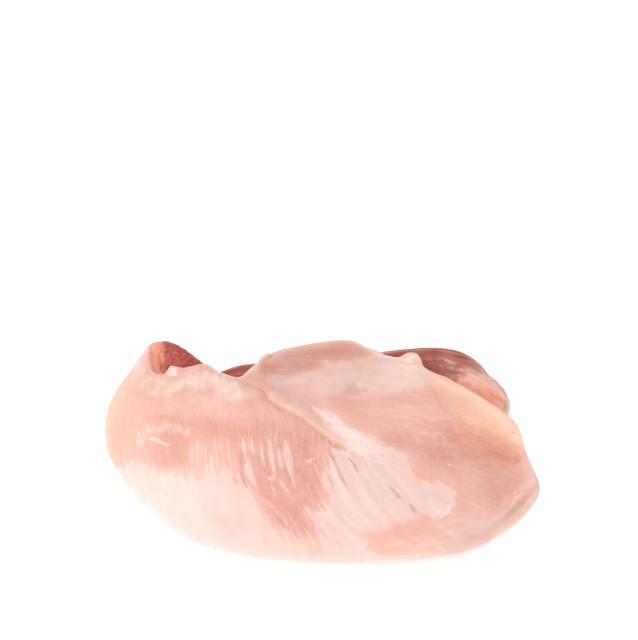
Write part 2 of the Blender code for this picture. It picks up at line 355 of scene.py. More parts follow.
# Fine relief: where the fibres run, as (x, y, degrees), the seam's creases and fat,
# the soft rim of the shelf, the lip at the tip, and the small flap beside the notch
GRAIN = (
    (-79, 15, -96), (-82, 4, -86), (-61, -23, -78), (-60, 10, -92), (-46, -16, -88), (-35, -19, -84),
    (-24, -16, -86), (-23, -23, -70), (-19, -29, -57), (-17, -38, -44), (-15, -18, -82), (-13, -25, -60),
    (-9, -11, -80), (-5, -38, -52), (-1, -42, -41), (5, -19, -71), (9, -27, -62), (7, -44, -28),
    (26, -27, -46), (33, -32, -48), (30, -43, -12), (54, -18, -16), (66, -11, -10), (60, -32, 4),
    (43, 4, 12), (48, 0, 6), (22, 11, 5), (38, 19, 10), (-10, 28, 2), (62, 10, -28), (76, -2, -50),
    (15, -4, -10), (-50, -34, -48), (-72, -10, -74),
)
LOW_CREASE = (
    (-32.5, 16.2), (-30.7, 15.3), (-26.5, 14), (-24.2, 12.7), (-22.4, 10), (-20.4, 6.2), (-16.9, 2.8),
    (-13, 1.2), (-9.6, -0.6), (-3.9, -4.6), (2, -10), (8.2, -13.3), (10.6, -14.3),
)
UP_CREASE = ((-8, 6), (-5.4, 3.8), (-3.6, 2.5), (-0.9, -0.2), (2.5, -3.5), (5.8, -6.4), (9, -9.2))
BANK_CREASE = ((-22.7, 28.4), (-22.9, 21), (-21.8, 14.5))
LOOP = ((-15.1, 1.3), (-13.3, 1.7), (-11, 1.2), (-9.2, -0.3))
FAT_BAND = (
    (-21.8, 12.8), (-19.8, 9.6), (-16.2, 6.6), (-12.8, 4.4), (-9.7, 2.4), (-7.2, 0.5), (-4.9, -1.4),
    (-1.9, -3.7), (1.2, -5.9), (4.6, -8.2), (7.2, -9.9), (9.8, -11.8),
)
RIM_LINE = (
    (-72, 42), (-70.6, 34.5), (-69, 28.6), (-66, 24.8), (-62, 23.8), (-58.5, 26.9), (-54, 25.4),
    (-49, 25.6), (-44.5, 24.2), (-41, 21.8), (-37.5, 19.4), (-33.5, 18.6), (-30, 21.6),
)
LIP_RIDGE = (
    (83.3, -8.9), (79, -14.2), (73.9, -20.2), (69.6, -24.9), (63.9, -31.5), (59.1, -35.4), (54.3, -37.8),
)
LIP_FACE = (
    (82, -12.5), (77.5, -17.9), (73.3, -22.9), (68.8, -27.7), (64.4, -32.4), (60, -36.5), (64.8, -35),
    (69.6, -30.5), (74.5, -25.9), (79.2, -20.9), (82.7, -16.2),
)
FLAP = ((-25.5, 32.6), (-24, 34.4), (-22.5, 35.9), (-20.6, 38))
FLAP_CREASE = ((-17.8, 40.6), (-20.1, 36), (-21.7, 33), (-23.6, 31.6), (-26, 30.4))
# The ragged back edge, as (x, y, z, width, rise): dents below 0, lumps of fat and rim above 0
BACK_EDGE = (
    (17, 46.6, 22, 4.2, -1.3), (21, 44.8, 21.8, 4.2, -1.9), (25.5, 42.2, 21.7, 3.5, -1.2),
    (29.2, 40.8, 21.6, 2.5, -1.1), (36.2, 39.3, 22.4, 2.7, 1.5), (32.8, 39.8, 23, 1.8, 0.8),
    (41.6, 36.8, 20.2, 2.3, -2.6), (44.6, 34, 19.3, 2.6, -1), (-66.5, 27.5, 30, 1.5, 0.7),
    (-60.4, 28.6, 33, 1.6, 1.9), (-50, 28.2, 34, 2.6, 0.7), (-41, 24, 35, 2, -0.4),
)
NUB_CREASE = ((28, 37.2), (29.7, 36.4), (31.2, 35.2), (33.3, 34.4), (35.4, 34.4), (37.2, 35.8))
# Nicks in the wet film, each with how deep it is
NICKS = (
    (((-15.4, -18.2), (-14.2, -23.1), (-11.6, -27.9)), 1),
    (((-21.7, -18.4), (-21.6, -22.8), (-19, -26.7)), 1),
    (((-18.7, -17.1), (-17.5, -23.5), (-16.4, -26.7)), 1),
    (((-30.9, -22.6), (-30.1, -26.4), (-27.9, -29.7)), 1),
    (((-33.9, -25.2), (-31.6, -27.6)), 1),
    (((-20.4, -33.8), (-16.4, -38.1), (-13.1, -40.5)), 1),
    (((3, -15), (3.9, -18.2), (6.3, -24), (9.8, -30.2)), 1.7),
    (((8.2, -15.2), (10.8, -17.9), (12.9, -21.8)), 1.7),
    (((23.9, -24.7), (26.7, -27.4), (29, -29.6)), 1.7),
    (((31.7, -30.3), (33, -31.8), (34.9, -33.5)), 1.7),
    (((-1.4, -33.8), (-0.1, -34.8), (1.1, -36.2)), 1),
    (((3.5, -42.3), (5.5, -43.2), (8, -44.4)), 0.5),
    (((12.5, -40.6), (14.4, -41.9)), 0.5),
    (((0, -15), (0.8, -17.5), (1.5, -19.9)), 1),
    (((1.7, -14.1), (2.4, -16.5), (3.2, -19)), 1),
    (((0.7, -22.2), (2.4, -25.7), (4.2, -29.4)), 1),
    (((14.7, -24.3), (16.9, -27), (19.7, -30.3)), 0.5),
    (((-2.4, -39.7), (-0.1, -41.8), (2.5, -43.3)), 0.5),
    (((12.4, -12.9), (15.2, -16.9), (18.7, -21.3)), 0.5),
    (((-31.6, -15), (-31.3, -19), (-30.6, -23)), 0.7),
    (((44.2, -25.6), (45.4, -26.2)), 0.7),
    (((46, -26.8), (47.4, -27.6)), 0.7),
    (((44.6, -27.6), (45.6, -28.6)), 0.7),
)
# Long low swellings, each with its width and height
SWELLINGS = (
    (((-80, -6), (-72, -12.9), (-65.8, -15.9), (-59.9, -18), (-54, -19.7), (-46, -19.5)), 5, 0.6),
    (((-70, -1.4), (-65.4, -2), (-60.3, -2.8), (-54.4, -4.9), (-48, -8.4)), 3.2, 0.3),
    (((0, 6), (11.2, -3), (24, -12), (36, -16)), 6, 0.7),
)
# Where the meat is wet enough to mirror the lights: the shoulder and front on the left,
# a stroke behind them, and the middle. The leaves' zone is dry between its leaves.
WET_LEFT = (
    (-90, -5), (-78.9, -6.9), (-74.2, -11.1), (-71.3, -12.3), (-68, -14.3), (-64.8, -15.9), (-61.9, -17.6),
    (-57.9, -19.2), (-54, -20.6), (-50.1, -22), (-46.3, -22.7), (-44, -21.1), (-41.8, -20.7),
    (-38.8, -22.1), (-35.8, -21.9), (-32.8, -22.8), (-30.5, -24.7), (-28.6, -26.8), (-26.8, -29.4),
    (-25.6, -32.5), (-23, -35.1), (-20.1, -37.6), (-15.3, -41.1), (-10.9, -43.4), (-5, -45), (-4, -54),
    (-60, -54), (-97, -20),
)
WET_STROKE = (
    (-69.8, -0.8), (-66.4, -1), (-63.6, 0.2), (-60, -0.3), (-57, -1.2), (-53.6, -3.2), (-50.6, -4.4),
    (-49.6, -8.8), (-52.4, -7.6), (-54.8, -7), (-58.3, -6), (-61.1, -4.4), (-63.8, -3.3), (-65.8, -3.1),
    (-67.4, -3.1), (-68.1, -4.7), (-68, -7.3), (-69.9, -7.6), (-71.5, -5.2), (-71.5, -2.3), (-70.9, 0),
)
WET_CENTRE = (
    (-2.3, 2.2), (2.9, 0.2), (7.1, -2.3), (11.2, -4.7), (17.8, -5.6), (21.1, -7), (25.3, -9.2),
    (29.4, -10.9), (32, -13.8), (33.2, -17.3), (33.9, -20.4), (35.8, -20.8), (38.4, -19.7), (41, -19.3),
    (45, -19.7), (48.2, -20.8), (49.9, -21.4), (48.9, -24.7), (48, -28.4), (46, -31.4), (42, -34),
    (39.4, -33.9), (36.7, -32.9), (34.9, -33.5), (34.8, -35.2), (31.6, -35.6), (29, -37.5), (25.2, -37.3),
    (24.5, -39.1), (20.7, -40.3), (18, -40.9), (16.2, -42), (15.5, -43.4), (17.8, -44.3), (22, -46),
    (20, -54), (-2, -54), (-1, -45.5), (-1.6, -43.6), (-3.4, -41.5), (-4, -38.4), (-5, -36.2),
    (-1.8, -34.2), (0.8, -30.4), (0.2, -27.7), (-0.8, -24.6), (1.8, -20.1), (1.9, -16.6), (3.6, -13.1),
    (6.2, -12), (8.6, -12.2), (6.7, -8.4), (4.9, -5.5), (2.1, -2.3), (-0.8, 0.4),
)
LEAF_ZONE = ((-33, -9), (-8, -9), (-8, -24), (-14, -30), (-19, -28), (-24, -23), (-28, -18), (-33, -15))
# Leaf-shaped wet strands that mirror the light one by one, each with its width
LEAVES = (
    (((-23.3, -12.4), (-23.3, -16.5), (-22.8, -19.6), (-21.6, -22)), 0.7),
    (((-20.8, -10.3), (-20, -15.7), (-19.4, -19.6), (-18.2, -25.2)), 1.1),
    (((-17.3, -13.9), (-16.8, -17.9), (-16, -20.6), (-15.3, -23.2)), 0.85),
    (((-14.9, -10.9), (-13.9, -16.2), (-13.2, -20.1), (-12.4, -25)), 1.5),
    (((-12.6, -23), (-11.5, -26.9), (-10.5, -29.3)), 0.4),
    (((-30.4, -10.7), (-30.1, -14), (-29.5, -17.2)), 0.8),
    (((-27.2, -10.8), (-26.9, -14), (-26.4, -17)), 0.5),
    (((-28.4, -19), (-27.2, -23.9), (-25.6, -28.4)), 0.9),
    (((-29.7, -20.5), (-28.7, -23.6), (-26.9, -27.2)), 0.8),
    (((-19.7, -27.4), (-19, -29.7), (-17.9, -32.4)), 0.4),
    (((-17.1, -26.1), (-15.3, -28.4), (-12.7, -30.9)), 0.45),
    (((-22.3, -24.6), (-20.1, -26.1), (-17.5, -26.7)), 0.4),
    (((-21.6, -27), (-19.4, -25.6), (-17.2, -25)), 0.4),
    (((-7, -20.1), (-5.6, -19.3), (-3.6, -17.9)), 0.6),
    (((-7, -34.5), (-5.7, -36.5), (-4.2, -38.4)), 0.9),
    (((-4, -19.5), (-3.2, -21.8), (-1.9, -24)), 0.35),
    (((-1.4, -15.2), (-0.1, -18.1), (1.3, -20.7)), 0.4),
    (((-0.1, -13.7), (1.1, -16.2), (2.1, -18.9)), 0.4),
    (((-4.6, 5), (-1.8, 2.6), (1, 1.2)), 0.7),
    (((46.5, -11.5), (47.6, -11.7), (48.8, -11.6)), 0.4),
    (((-66.5, -4.7), (-63.7, -6.5), (-61.3, -8.2), (-58.3, -10.6)), 0.75),
    (((-51.2, -4.6), (-50.9, -6.8), (-50.8, -8.8)), 0.45),
)
# Thin wet strands beside the red patch, in the streaky part, and across the wedge's foot
STRANDS = (
    (((-71.7, -6.8), (-72, -9.7), (-72.3, -12.3)), 0.45),
    (((-70.1, -6.8), (-70.5, -9.8), (-70.9, -12.7)), 0.4),
    (((-68, -8.4), (-68.5, -11.1), (-68.7, -13.4)), 0.5),
    (((-65.9, -9.9), (-66.5, -12.1), (-66.7, -14.4)), 0.4),
    (((-68.8, -7.7), (-66.7, -9.6), (-65.1, -11.9)), 0.35),
    (((-64.3, -12.8), (-64.7, -14), (-65, -15.4)), 0.4),
    (((-49.6, -11.4), (-48.9, -15.6), (-48.2, -21.6)), 1.2),
    (((-47.7, -9.4), (-47, -14.8), (-46.3, -22.7)), 0.7),
    (((-45.4, -9.7), (-44.9, -15.1), (-44.1, -22.3)), 1.1),
    (((-43.4, -12.9), (-42.9, -16.8), (-42.2, -22.3)), 0.5),
    (((-40.9, -11.6), (-40.4, -17.2), (-39.1, -24)), 1),
    (((-38.6, -10.1), (-38.1, -17), (-36.5, -24.6)), 0.9),
    (((-36, -11.1), (-35.5, -17.2), (-33.9, -25.1)), 1),
    (((-33.5, -12), (-32.7, -18.5), (-30.9, -26)), 0.8),
    (((-29.6, -15.3), (-28.3, -20.1), (-26.8, -26.9)), 0.6),
    (((-14.5, -35.3), (-10.9, -39.7), (-6.8, -43)), 0.5),
    (((-9, -34.5), (-6.8, -38.2), (-3.8, -41.2)), 0.45),
    (((-12.7, -38.4), (-9.1, -42.1), (-4.6, -44.3)), 0.6),
    (((-7.9, -39.4), (-4.6, -43.2), (-0.8, -45.5)), 0.6),
    (((-22.7, -32.3), (-19.3, -35.2), (-15.7, -38.1), (-13.4, -40.2)), 0.55),
    (((-17.1, -35.6), (-14.5, -38.3), (-12.3, -40.2)), 0.45),
    (((-6.5, -27), (-4.5, -31.5), (-2, -35.5)), 0.4),
)
# Glint threads, thin lines of painted highlight: across the tip, on the seam's lower bank, and along the
# front of the tip
GLINT_THREADS = (
    (((8.6, -10.9), (13.8, -13.6), (17.9, -16), (23.7, -16.1)), 0.5),
    (((73.3, 2), (73.3, -1.6), (73.3, -5.1)), 0.3),
    (((75.2, 2.5), (75.1, -1.6)), 0.3),
    (((76.3, 6.5), (76.6, 2.5), (76.7, -1.5), (77.1, -4.3), (78, -7.2)), 0.4),
    (((55.4, -21), (60.5, -21.7), (65.9, -23)), 0.3),
    (((54.5, -22.8), (59.5, -23.6), (64.5, -24.7)), 0.3),
    (((53.9, -18.9), (58.6, -19.5), (64.4, -20.9)), 0.3),
    (((52.9, -25.1), (57.8, -25.8), (62.9, -26.6)), 0.3),
    (((35.7, -41.4), (43.4, -39.3), (51.8, -35.4)), 0.5),
    (((30.2, -43.5), (39.5, -41.9), (49.5, -38.9)), 0.5),
    (((39.5, -38), (46.3, -35.3), (53.6, -31.5)), 0.4),
    (((22.6, -43.4), (32, -41.9), (41.7, -38.7)), 0.5),
    (((75.6, -17), (73.5, -19.6), (71, -22)), 0.55),
    (((81.7, -9.6), (78.4, -12.9), (75, -16.6)), 0.35),
    (((72, -22.4), (68.4, -26.6), (64.6, -30.4)), 0.35),
    (((79, -10.6), (75.4, -14.6), (71.6, -18.9)), 0.3),
    (((40.6, 0.6), (43.6, 1.2), (46, 0.2), (46.6, -2), (44.8, -4.1)), 0.5),
    (((37.5, -0.1), (39.4, 0.7), (41, 0.9)), 0.4),
    (((35.4, -3), (35.4, -5.9)), 0.4),
    (((36.9, -2.4), (37.1, -5.2)), 0.4),
    (((7.6, 17.2), (9, 15), (10, 13.4)), 0.35),
    (((10.2, 17.4), (11.2, 15.4), (12.6, 13.8)), 0.3),
    (((33, 21), (38, 22.4), (43, 22.6)), 0.3),
    (((24, 15.4), (31, 16.6), (38, 18)), 0.3),
    (((30, 10.4), (37, 12), (43, 13.4)), 0.3),
    (((34, 5.6), (40, 7.2), (46, 8.4)), 0.3),
)
# Redder meat on the front: the wedge that the leaves lie on, a patch left of it, and a streak
WEDGE = (
    (-28.3, -18), (-26.5, -25.9), (-24.5, -32.9), (-19.7, -39.4), (-11.5, -42.2), (-3, -42.5), (-2.3, -41),
    (-6.4, -36.8), (-2.4, -29.5), (-1.2, -20.9), (-6, -12), (-18, -10),
)
RED_PATCH = (
    (-64.5, -6), (-57, -5), (-50.5, -8.5), (-49.5, -14), (-50.5, -19.5), (-57, -19.5), (-64.3, -15.5),
)
RED_STREAK = ((-64.5, -4.3), (-59, -5.8), (-53.5, -8))
WEDGE_DEEP = (
    ((-6.2, -16.9), (-1.5, -22.5), (-0.2, -29.4), (-3.1, -33.4), (-6.7, -31.7), (-9.8, -25.1)),
    ((-20.8, -30.5), (-14.5, -34.5), (-9, -38.7), (-5.3, -41.1), (-9, -41.5), (-14.6, -38.6),
     (-19.3, -34.3)),
)
# Peach and cream on the shoulder and the rim, the painted highlight on the seam's bank, and the pale film
# behind the seam, partly a painted sheen
PEACH = ((-84, 24), (-74.5, 24), (-67.2, 14), (-66.6, 5.7), (-73, 6.3), (-86, 10))
CREAM_EDGE = (
    (-75.5, 24.6), (-72.2, 18.9), (-66.5, 14.2), (-60.3, 13), (-56.9, 14), (-52.1, 13.1), (-49.8, 11.6),
    (-46.9, 13.6), (-41.4, 13.7), (-39, 9.4), (-36.8, 5.9), (-32.6, 4.7), (-29.2, 6.3), (-26.7, 8.8),
    (-24.2, 9.5), (-24, 13), (-26, 24), (-30, 32), (-46, 40), (-62, 52), (-76, 44),
)
CREAM_FOLDS = (
    ((-73.1, 27), (-66.8, 20.4), (-61.1, 19), (-54.9, 20.6), (-49.5, 22.3), (-44.1, 21.9), (-38.5, 18),
     (-32.2, 14.6), (-30.2, 10.7), (-33, 6), (-37.3, 7.7), (-42.1, 12.3), (-47.6, 13.9), (-53.1, 14.7),
     (-58.4, 12.6), (-65.5, 13.5), (-72.3, 18.2)),
    ((-61.3, 28.2), (-59.5, 28.6), (-57.5, 26.4), (-57.8, 22.6), (-61, 23.2)),
)
BANK_HIGHLIGHT = (
    (-2.4, 2.9), (1.5, 1.7), (6.7, -1.9), (12, -5.9), (18.1, -8.8), (24, -11), (16, -13.2), (9.5, -12.6),
    (4.4, -10.6), (0.6, -6.4),
)
BACK_FILM_SHEEN = (
    (-15.4, 17.3), (-14.7, 19.1), (-11.6, 20.3), (-8.2, 21.8), (-4.3, 23.4), (-1.4, 25.5), (0.8, 29.5),
    (5.1, 30.1), (7.8, 31.8), (10.4, 32.9), (13.4, 33.5), (16.6, 35.9), (20.1, 42), (28.8, 41),
    (38.8, 37.1), (41.6, 32.8), (42.9, 29), (41.3, 24.9), (37.5, 22.1), (29.5, 19.5), (23.6, 18.1),
    (18.5, 17), (14.6, 15.1), (12.6, 12), (9.1, 11.2), (6.8, 12.4), (2.3, 10.7), (-1.6, 10.6), (-4.6, 11.8),
    (-8.5, 13.8),
)
# The tan beside the notch, painted shadow under the back edge's crest, painted shade on the notch's bank,
# and the tan hollow of the tip
NOTCH_TAN = ((-34, 19), (-29.5, 22), (-25, 24.5), (-23.5, 18), (-26.5, 12), (-32, 14))
CREST_SHADOW = (
    (-20.9, 46.2), (-9.5, 48.7), (2.4, 50.4), (11.4, 48.5), (16.1, 43.3), (15.8, 37), (10.2, 34.1),
    (0.8, 30.8), (-2.4, 26.7), (-9.3, 22.9), (-14.7, 20.6), (-18.6, 20.9), (-21, 25.4),
)
NOTCH_SHADE = ((-25.1, 31.7), (-22, 31.4), (-18.7, 28.8), (-18.6, 23), (-21, 21), (-23.7, 22.2))
TIP_TAN = (
    (60, -9), (66, -6.5), (74, -7), (77.5, -9.5), (77.4, -13.5), (73.6, -18.4), (69, -22.8), (63.5, -25.5),
    (59.5, -20),
)
# Rust-brown marks: a blemish, spots as (x, y, width), creases, and the bank that falls to the tip. The
# tip's crease is a red line darkened with painted crease shade.
BLEMISH = ((7.7, 17.8), (10.8, 19.5), (13.1, 18.2), (13.4, 14.9), (11.8, 11.9), (9.1, 11.8), (7.3, 14.2))
RUST_SPOTS = ((15.8, 15.9, 1.2), (36.5, 35, 1.7), (47.9, 2.2, 1.5), (74, 8.2, 0.6))
TIP_CREASE = (
    (59.8, -0.2), (62.3, -1.1), (64.4, -2.1), (67.6, -2.7), (70.6, -3.5), (72.9, -3.4), (75.1, -3.8),
    (76.2, -5.8),
)
FILM_CREASE = ((40.5, 25.9), (41.8, 22.6), (43.4, 19.9), (44.5, 16.9), (45.9, 13.5), (48.1, 11), (52, 9.6))
RUST_BANK = (
    (53, 11.6), (55.6, 9.9), (58, 8.5), (63.3, 6.6), (68.1, 4.5), (74.1, 3.2), (77, -0.6), (75.9, -5.4),
    (71.4, -4.7), (65.6, -3.5), (60.3, -2.5), (56, -2.2), (53.6, -0.6), (52.4, 3), (51.8, 7.4),
)
# Soft tints: the pale edge and the lilac lip of the tip, amber behind it, and the
# rose, grey and plain pink parts of the front, and a pale painted sheen low on its right
TIP_EDGE = (
    (82.9, -11.4), (82.3, -15.2), (79.4, -20.2), (75.8, -24.4), (71.7, -28.4), (66.9, -32.4), (61, -36.6),
)
LIP_LILAC = (
    (78.1, -14.5), (74.8, -19.4), (70.6, -24.1), (65.9, -29), (65.1, -26.8), (69.1, -22), (72.9, -17.5),
    (76, -13.9),
)
AMBER_PATCH = (
    (40, 30), (42.6, 26.3), (46.9, 16.6), (51.2, 10), (55.7, 5.3), (60.8, 2.4), (66.2, 0.9), (71.6, 0.2),
    (78, 0), (82, 2), (78, 12), (62, 26), (48, 35),
)
ROSE_DIP = ((24, -5.5), (34, -9.5), (42, -14.5), (50, -15), (47, -8.5), (36, -3.5), (28, -2.5))
ROSE_BAND = (
    (43, 2.4), (48.6, 4.6), (54.8, 0.9), (59.7, -1.2), (64.1, -3.6), (67.7, -6.6), (63.5, -8), (55.9, -9.2),
    (48.8, -9.8), (43.4, -8.6), (38.8, -5.5),
)
GREY_HOLLOW = (
    (63.2, -6.9), (67.6, -6.2), (72.7, -5.8), (76.4, -7.1), (76.2, -11), (71.8, -13.8), (65.8, -14.3),
    (62.7, -11.8),
)
PALE_LOW = (
    (33, -40.7), (43.3, -33.7), (51.2, -28.7), (59.5, -24.6), (67, -19.9), (73, -15.3), (79.5, -9),
    (76, -17), (70.1, -23.1), (65, -28.9), (58.8, -34.4), (51, -39.6), (42, -50), (30, -50), (31, -43),
)
SMOOTH_PINK = (
    (-66, 15), (-63.3, 16), (-51.3, 11.7), (-41.6, 9), (-31.9, 4.7), (-23.5, -2.7), (-25.9, -6.2),
    (-37.3, -3.3), (-50.7, -0.3), (-64.6, 5.7),
)
# The glistening part of the cut shelf, where glints are painted, and where the front is rosy, dry or wet
SHELF_SHINE = ((-66.5, 33), (-65, 39), (-61.8, 42.5), (-57.5, 38.5), (-55, 34), (-57.5, 31), (-62.5, 30.5))
FRONT_ROSE = ((-42.5, -34.8), (-36.5, -35.8), (-30.5, -38), (-28, -40.6), (-33, -41.3), (-39, -39.5))
DRY_SPOT = ((-7, -31), (-2.5, -29.8), (0.6, -31.8), (-1.4, -35), (-4, -37.4), (-6.8, -36.4))
WET_FOOT = ((-7.5, -42), (-1.5, -42.2), (2, -48), (-9, -48))
DRY_GAP = ((-32.2, -11.5), (-31, -16), (-29.6, -22.5), (-28.4, -29.5))
RED_BAND = (
    (-66.5, 3.8), (-50.7, -1.2), (-37.3, -3.8), (-23.3, -3.5), (-9.2, -5.4), (-3.4, -9.4), (-3, -14),
    (-10, -16), (-23.2, -13.7), (-37.2, -11.7), (-50.6, -7.6),
)
# The front-left, painted paler as painted light
FRONT_LIGHT_PAINT = (
    (-80, -8), (-72, -13.9), (-60, -19), (-50, -20.5), (-42, -23), (-36, -28), (-31, -35), (-24, -41),
    (-16, -52), (-60, -52), (-95, -20),
)
# Fat along the back edge, the grey veil over the seam and under the tip, and pale spots: lilac ones, partly
# painted highlight, and one on the tail, a painted highlight where the meat is wet
BACK_LINE = ((40, 33), (47, 28.6), (56, 24), (62.5, 20.5), (70, 14.5), (76, 7.5), (79, 1))
VEIL_SPOT = (
    (-22.1, 19.1), (-20.6, 21.4), (-17.4, 20.2), (-15.4, 17.8), (-15.7, 14.9), (-16.9, 13.5), (-19.7, 14.3),
)
VEIL_BAND = (
    (-19.5, 21.5), (-16.6, 20), (-13.1, 14.9), (-8.9, 10), (-5.3, 6), (-2, 2.4), (-4.7, 2.1), (-8.1, 4.3),
    (-11.5, 6.7), (-14.9, 9.5), (-18.4, 12.6), (-22, 18.3),
)
TAIL_WHITE = ((40.5, -27.5), (44, -30), (47, -27.5), (50, -23.5), (49.5, -30), (46, -33.5), (41, -34))
VEIL_TAIL = (
    (-8.6, 10.2), (-4.4, 8.8), (0.6, 4.6), (5.6, 0), (12, -4), (15.2, -7.4), (9.4, -6), (3.6, -2.6),
    (-1.6, 1.8), (-5.6, 5.8),
)
TIP_UNDER = (
    (43, -41.5), (50.5, -36), (58, -32.5), (65.5, -26.8), (70.5, -28.5), (65, -37), (56, -43), (45, -47),
)
LILAC_SPOTS = (
    ((-46.3, 11), (-42.1, 11.7), (-39.2, 8.3), (-38, 4.3), (-40.2, 1.2), (-44.7, 1.5), (-47.2, 5.5)),
    ((-65.9, 13.6), (-61.6, 13.4), (-56.7, 10.6), (-55, 7.8), (-58, 5.9), (-64.4, 9)),
    ((-53.7, 12.7), (-47.5, 11.8), (-45, 8.3), (-48.8, 6.8), (-53.5, 8.5)),
)

# Soft ovals on the meat, as (x, y, half-length, half-width): streaks, bundles,
# calm meat, crossed streaks, and the fine hairs on the front and on the tail
STREAKY_FRONT = (-27, -20, 27, 15)
LINED_FRONT, LINED_FOOT = (-22, -12, 36, 15), (45, -37, 22, 7)
MIDDLE_FRONT = (15, -30, 32, 17)
CALM_DIP = (34, -12, 24, 15)
HATCHED_FRONT = (-29, -17, 20, 9)
HAIRS_ACROSS_FRONT = (-12, -12, 34, 13)
HAIRS_ALONG_TAIL = (38, 6, 26, 15)
FAN_ROOT = (-62.5, 24)  # the point that the fibres of the cut shelf fan out from
SHELF_DIP = (-63.2, 32.5, 2.4)  # a round spot, as (x, y, width)
PALE_HOLES = ((0.55, (-14, -13.8, 6)), (0.5, (44.5, -3, 3.2)))  # how much less blush, and the spot
TABLE = 256  # lumps along each side of a mottle before it repeats
LOBES_APART = 12  # how much farther off the marks beyond the seam count
GRAIN_REACH = 12  # square of the distance within which marks blend evenly
OVERRUN = 0.02  # share of its length by which a line's ends fade out late
LEAF_EDGE = 0.6  # width of the soft edge of a leaf or strand


def mottle(at, size, seed):
    """Smooth lumps of one size, from -1 to 1, the same each time."""
    table = np.random.default_rng(seed).uniform(-1, 1, (TABLE, TABLE))
    u, v = at[0] / size, at[1] / size
    i, j = np.floor(u).astype(int), np.floor(v).astype(int)
    s, t = ease(u - i), ease(v - j)
    i, j, k, m = i % TABLE, j % TABLE, (i + 1) % TABLE, (j + 1) % TABLE
    near = table[i, j] * (1 - s) + table[k, j] * s
    return near * (1 - t) + (table[i, m] * (1 - s) + table[k, m] * s) * t


def side_of_seam(at):
    """Over 0 behind the seam and under 0 in front of it, fading where the seam ends."""
    _, share, side = near_line(SEAM, at)
    return LOBES_APART * np.sign(side) * ease((1 - share) * 3)


def grain_way(at):
    """Which way the fibres run: two fields of guide marks that the seam keeps apart."""
    x, y = at
    lobe = side_of_seam(at)
    east, north = np.zeros(x.shape), np.zeros(x.shape)
    marks = np.array(GRAIN, float)
    for (mx, my, degrees), its_lobe in zip(GRAIN, side_of_seam((marks[:, 0], marks[:, 1]))):
        weight = 1 / ((x - mx) ** 2 + (y - my) ** 2 + (lobe - its_lobe) ** 2 + GRAIN_REACH) ** 2
        east += weight * math.cos(math.radians(degrees))
        north += weight * math.sin(math.radians(degrees))
    length = np.hypot(east, north)
    return east / length, north / length


def along_the_grain(size, steps, step, seed):
    """Lumps smeared along the fibres into strands, evened out to about -1 to 1."""
    total = mottle(plan, size, seed)
    for way in (step, -step):
        at = plan
        for _ in range(steps):
            east, north = grain_way(at)
            at = at[0] + way * east, at[1] + way * north
            total += mottle(at, size, seed)
    total -= total.mean()
    return np.clip(total / (2.2 * total.std()), -1.5, 1.5)


def swayed(at, *sways):
    """Points pushed about by lumps: each sway is how far, the lumps' size and two seeds."""
    x, y = at
    for far, size, east_seed, north_seed in sways:
        x, y = x + far * mottle(plan, size, east_seed), y + far * mottle(plan, size, north_seed)
    return x, y


def combed(at, far):
    """Points pushed along the fibres."""
    return at[0] + far * grain[0], at[1] + far * grain[1]


def line_of(line, at, width, fade=0.15):
    """A soft band along a line, gone at both its ends."""
    away, share, _ = near_line(line, at)
    return bell(away, width) * ease((share + OVERRUN) / fade) * ease((1 + OVERRUN - share) / fade)


def tapered(lines, at):
    """Leaves along lines, each widest in its middle and pointed at both ends, added up."""
    total = 0
    for line, width in lines:
        away, share, _ = near_line(line, at)
        half = width * np.clip(4 * share * (1 - share), 0, 1) ** 0.6
        total = total + ease(0.5 + (half - away) / LEAF_EDGE)
    return total


def oval(x, y, half_length, half_width):
    return np.exp(-(((plan_x - x) / half_length) ** 2 + ((plan_y - y) / half_width) ** 2))


def dot(x, y, width):
    return bell(np.hypot(plan_x - x, plan_y - y), width)


def spot(outline, soft, grit=0):
    """A patch of the breast inside an outline that wanders a little."""
    return inside(outline, wander, soft, grit)


wander = swayed(plan, (1.6, 7, 11, 13), (0.7, 2.2, 12, 14))
part_wander = wander[0] * 0.3 + plan_x * 0.7, plan_y
_, seam_share, seam_side = near_line(SEAM, plan)
front_lobe = np.where(seam_side > 0, 1 - ease((1 - seam_share) * 4), 1)

strands = along_the_grain(0.95, 9, 0.8, 21)
bundles = along_the_grain(2.6, 10, 1.6, 22)
threads = along_the_grain(0.55, 12, 0.45, 24)
streaks = along_the_grain(1.5, 14, 1, 23)
grain = grain_way(plan)

skin_up = ease((body[:, 2] - 1) / 4) * above
streaky, middle = oval(*STREAKY_FRONT), oval(*MIDDLE_FRONT)
lined = oval(*LINED_FRONT) + 0.5 * oval(*LINED_FOOT)
lined = np.clip((0.24 + 0.95 * lined) * (0.75 + 0.5 * mottle(plan, 6, 25)), 0, 1)
shelf = inside(SHELF_RIM, plan, 1.2)
band_away, band_share, _ = near_line(FAT_BAND, swayed(plan, (0.6, 3.4, 78, 79)))
band_width = (2.4 - 1.5 * band_share) * (1 + 0.4 * mottle(plan, 2.8, 77))
fat_band = bell(band_away, band_width) * ease(band_share * 12 + 0.2) * ease((1 - band_share) * 4)
nub_bump = np.clip(nub / NUB_RISE, 0, 1)
flap = line_of(FLAP, plan, 1.1, 0.3) * above
loop = line_of(LOOP, plan, 0.9, 0.3)
low_crease = line_of(LOW_CREASE, plan, 0.6, 0.1) * (1 - 0.8 * near_line(LOW_CREASE, plan)[1])
low_crease *= 0.75 + 0.45 * mottle(plan, 4, 82)
leaf_x = plan_x + 0.2 * mottle(plan, 1.8, 74) + 0.1 * mottle(plan, 0.7, 75)
leaves = np.clip(tapered(LEAVES, (leaf_x, plan_y + 0.3 * mottle(plan, 1.5, 76))), 0, 1)
strays = tapered(STRANDS, part_wander)
glint_threads = tapered(GLINT_THREADS, plan)
nicks = sum(deep * line_of(line, plan, 0.42, 0.3) for line, deep in NICKS)
nicked = np.clip(nicks, 0, 1)
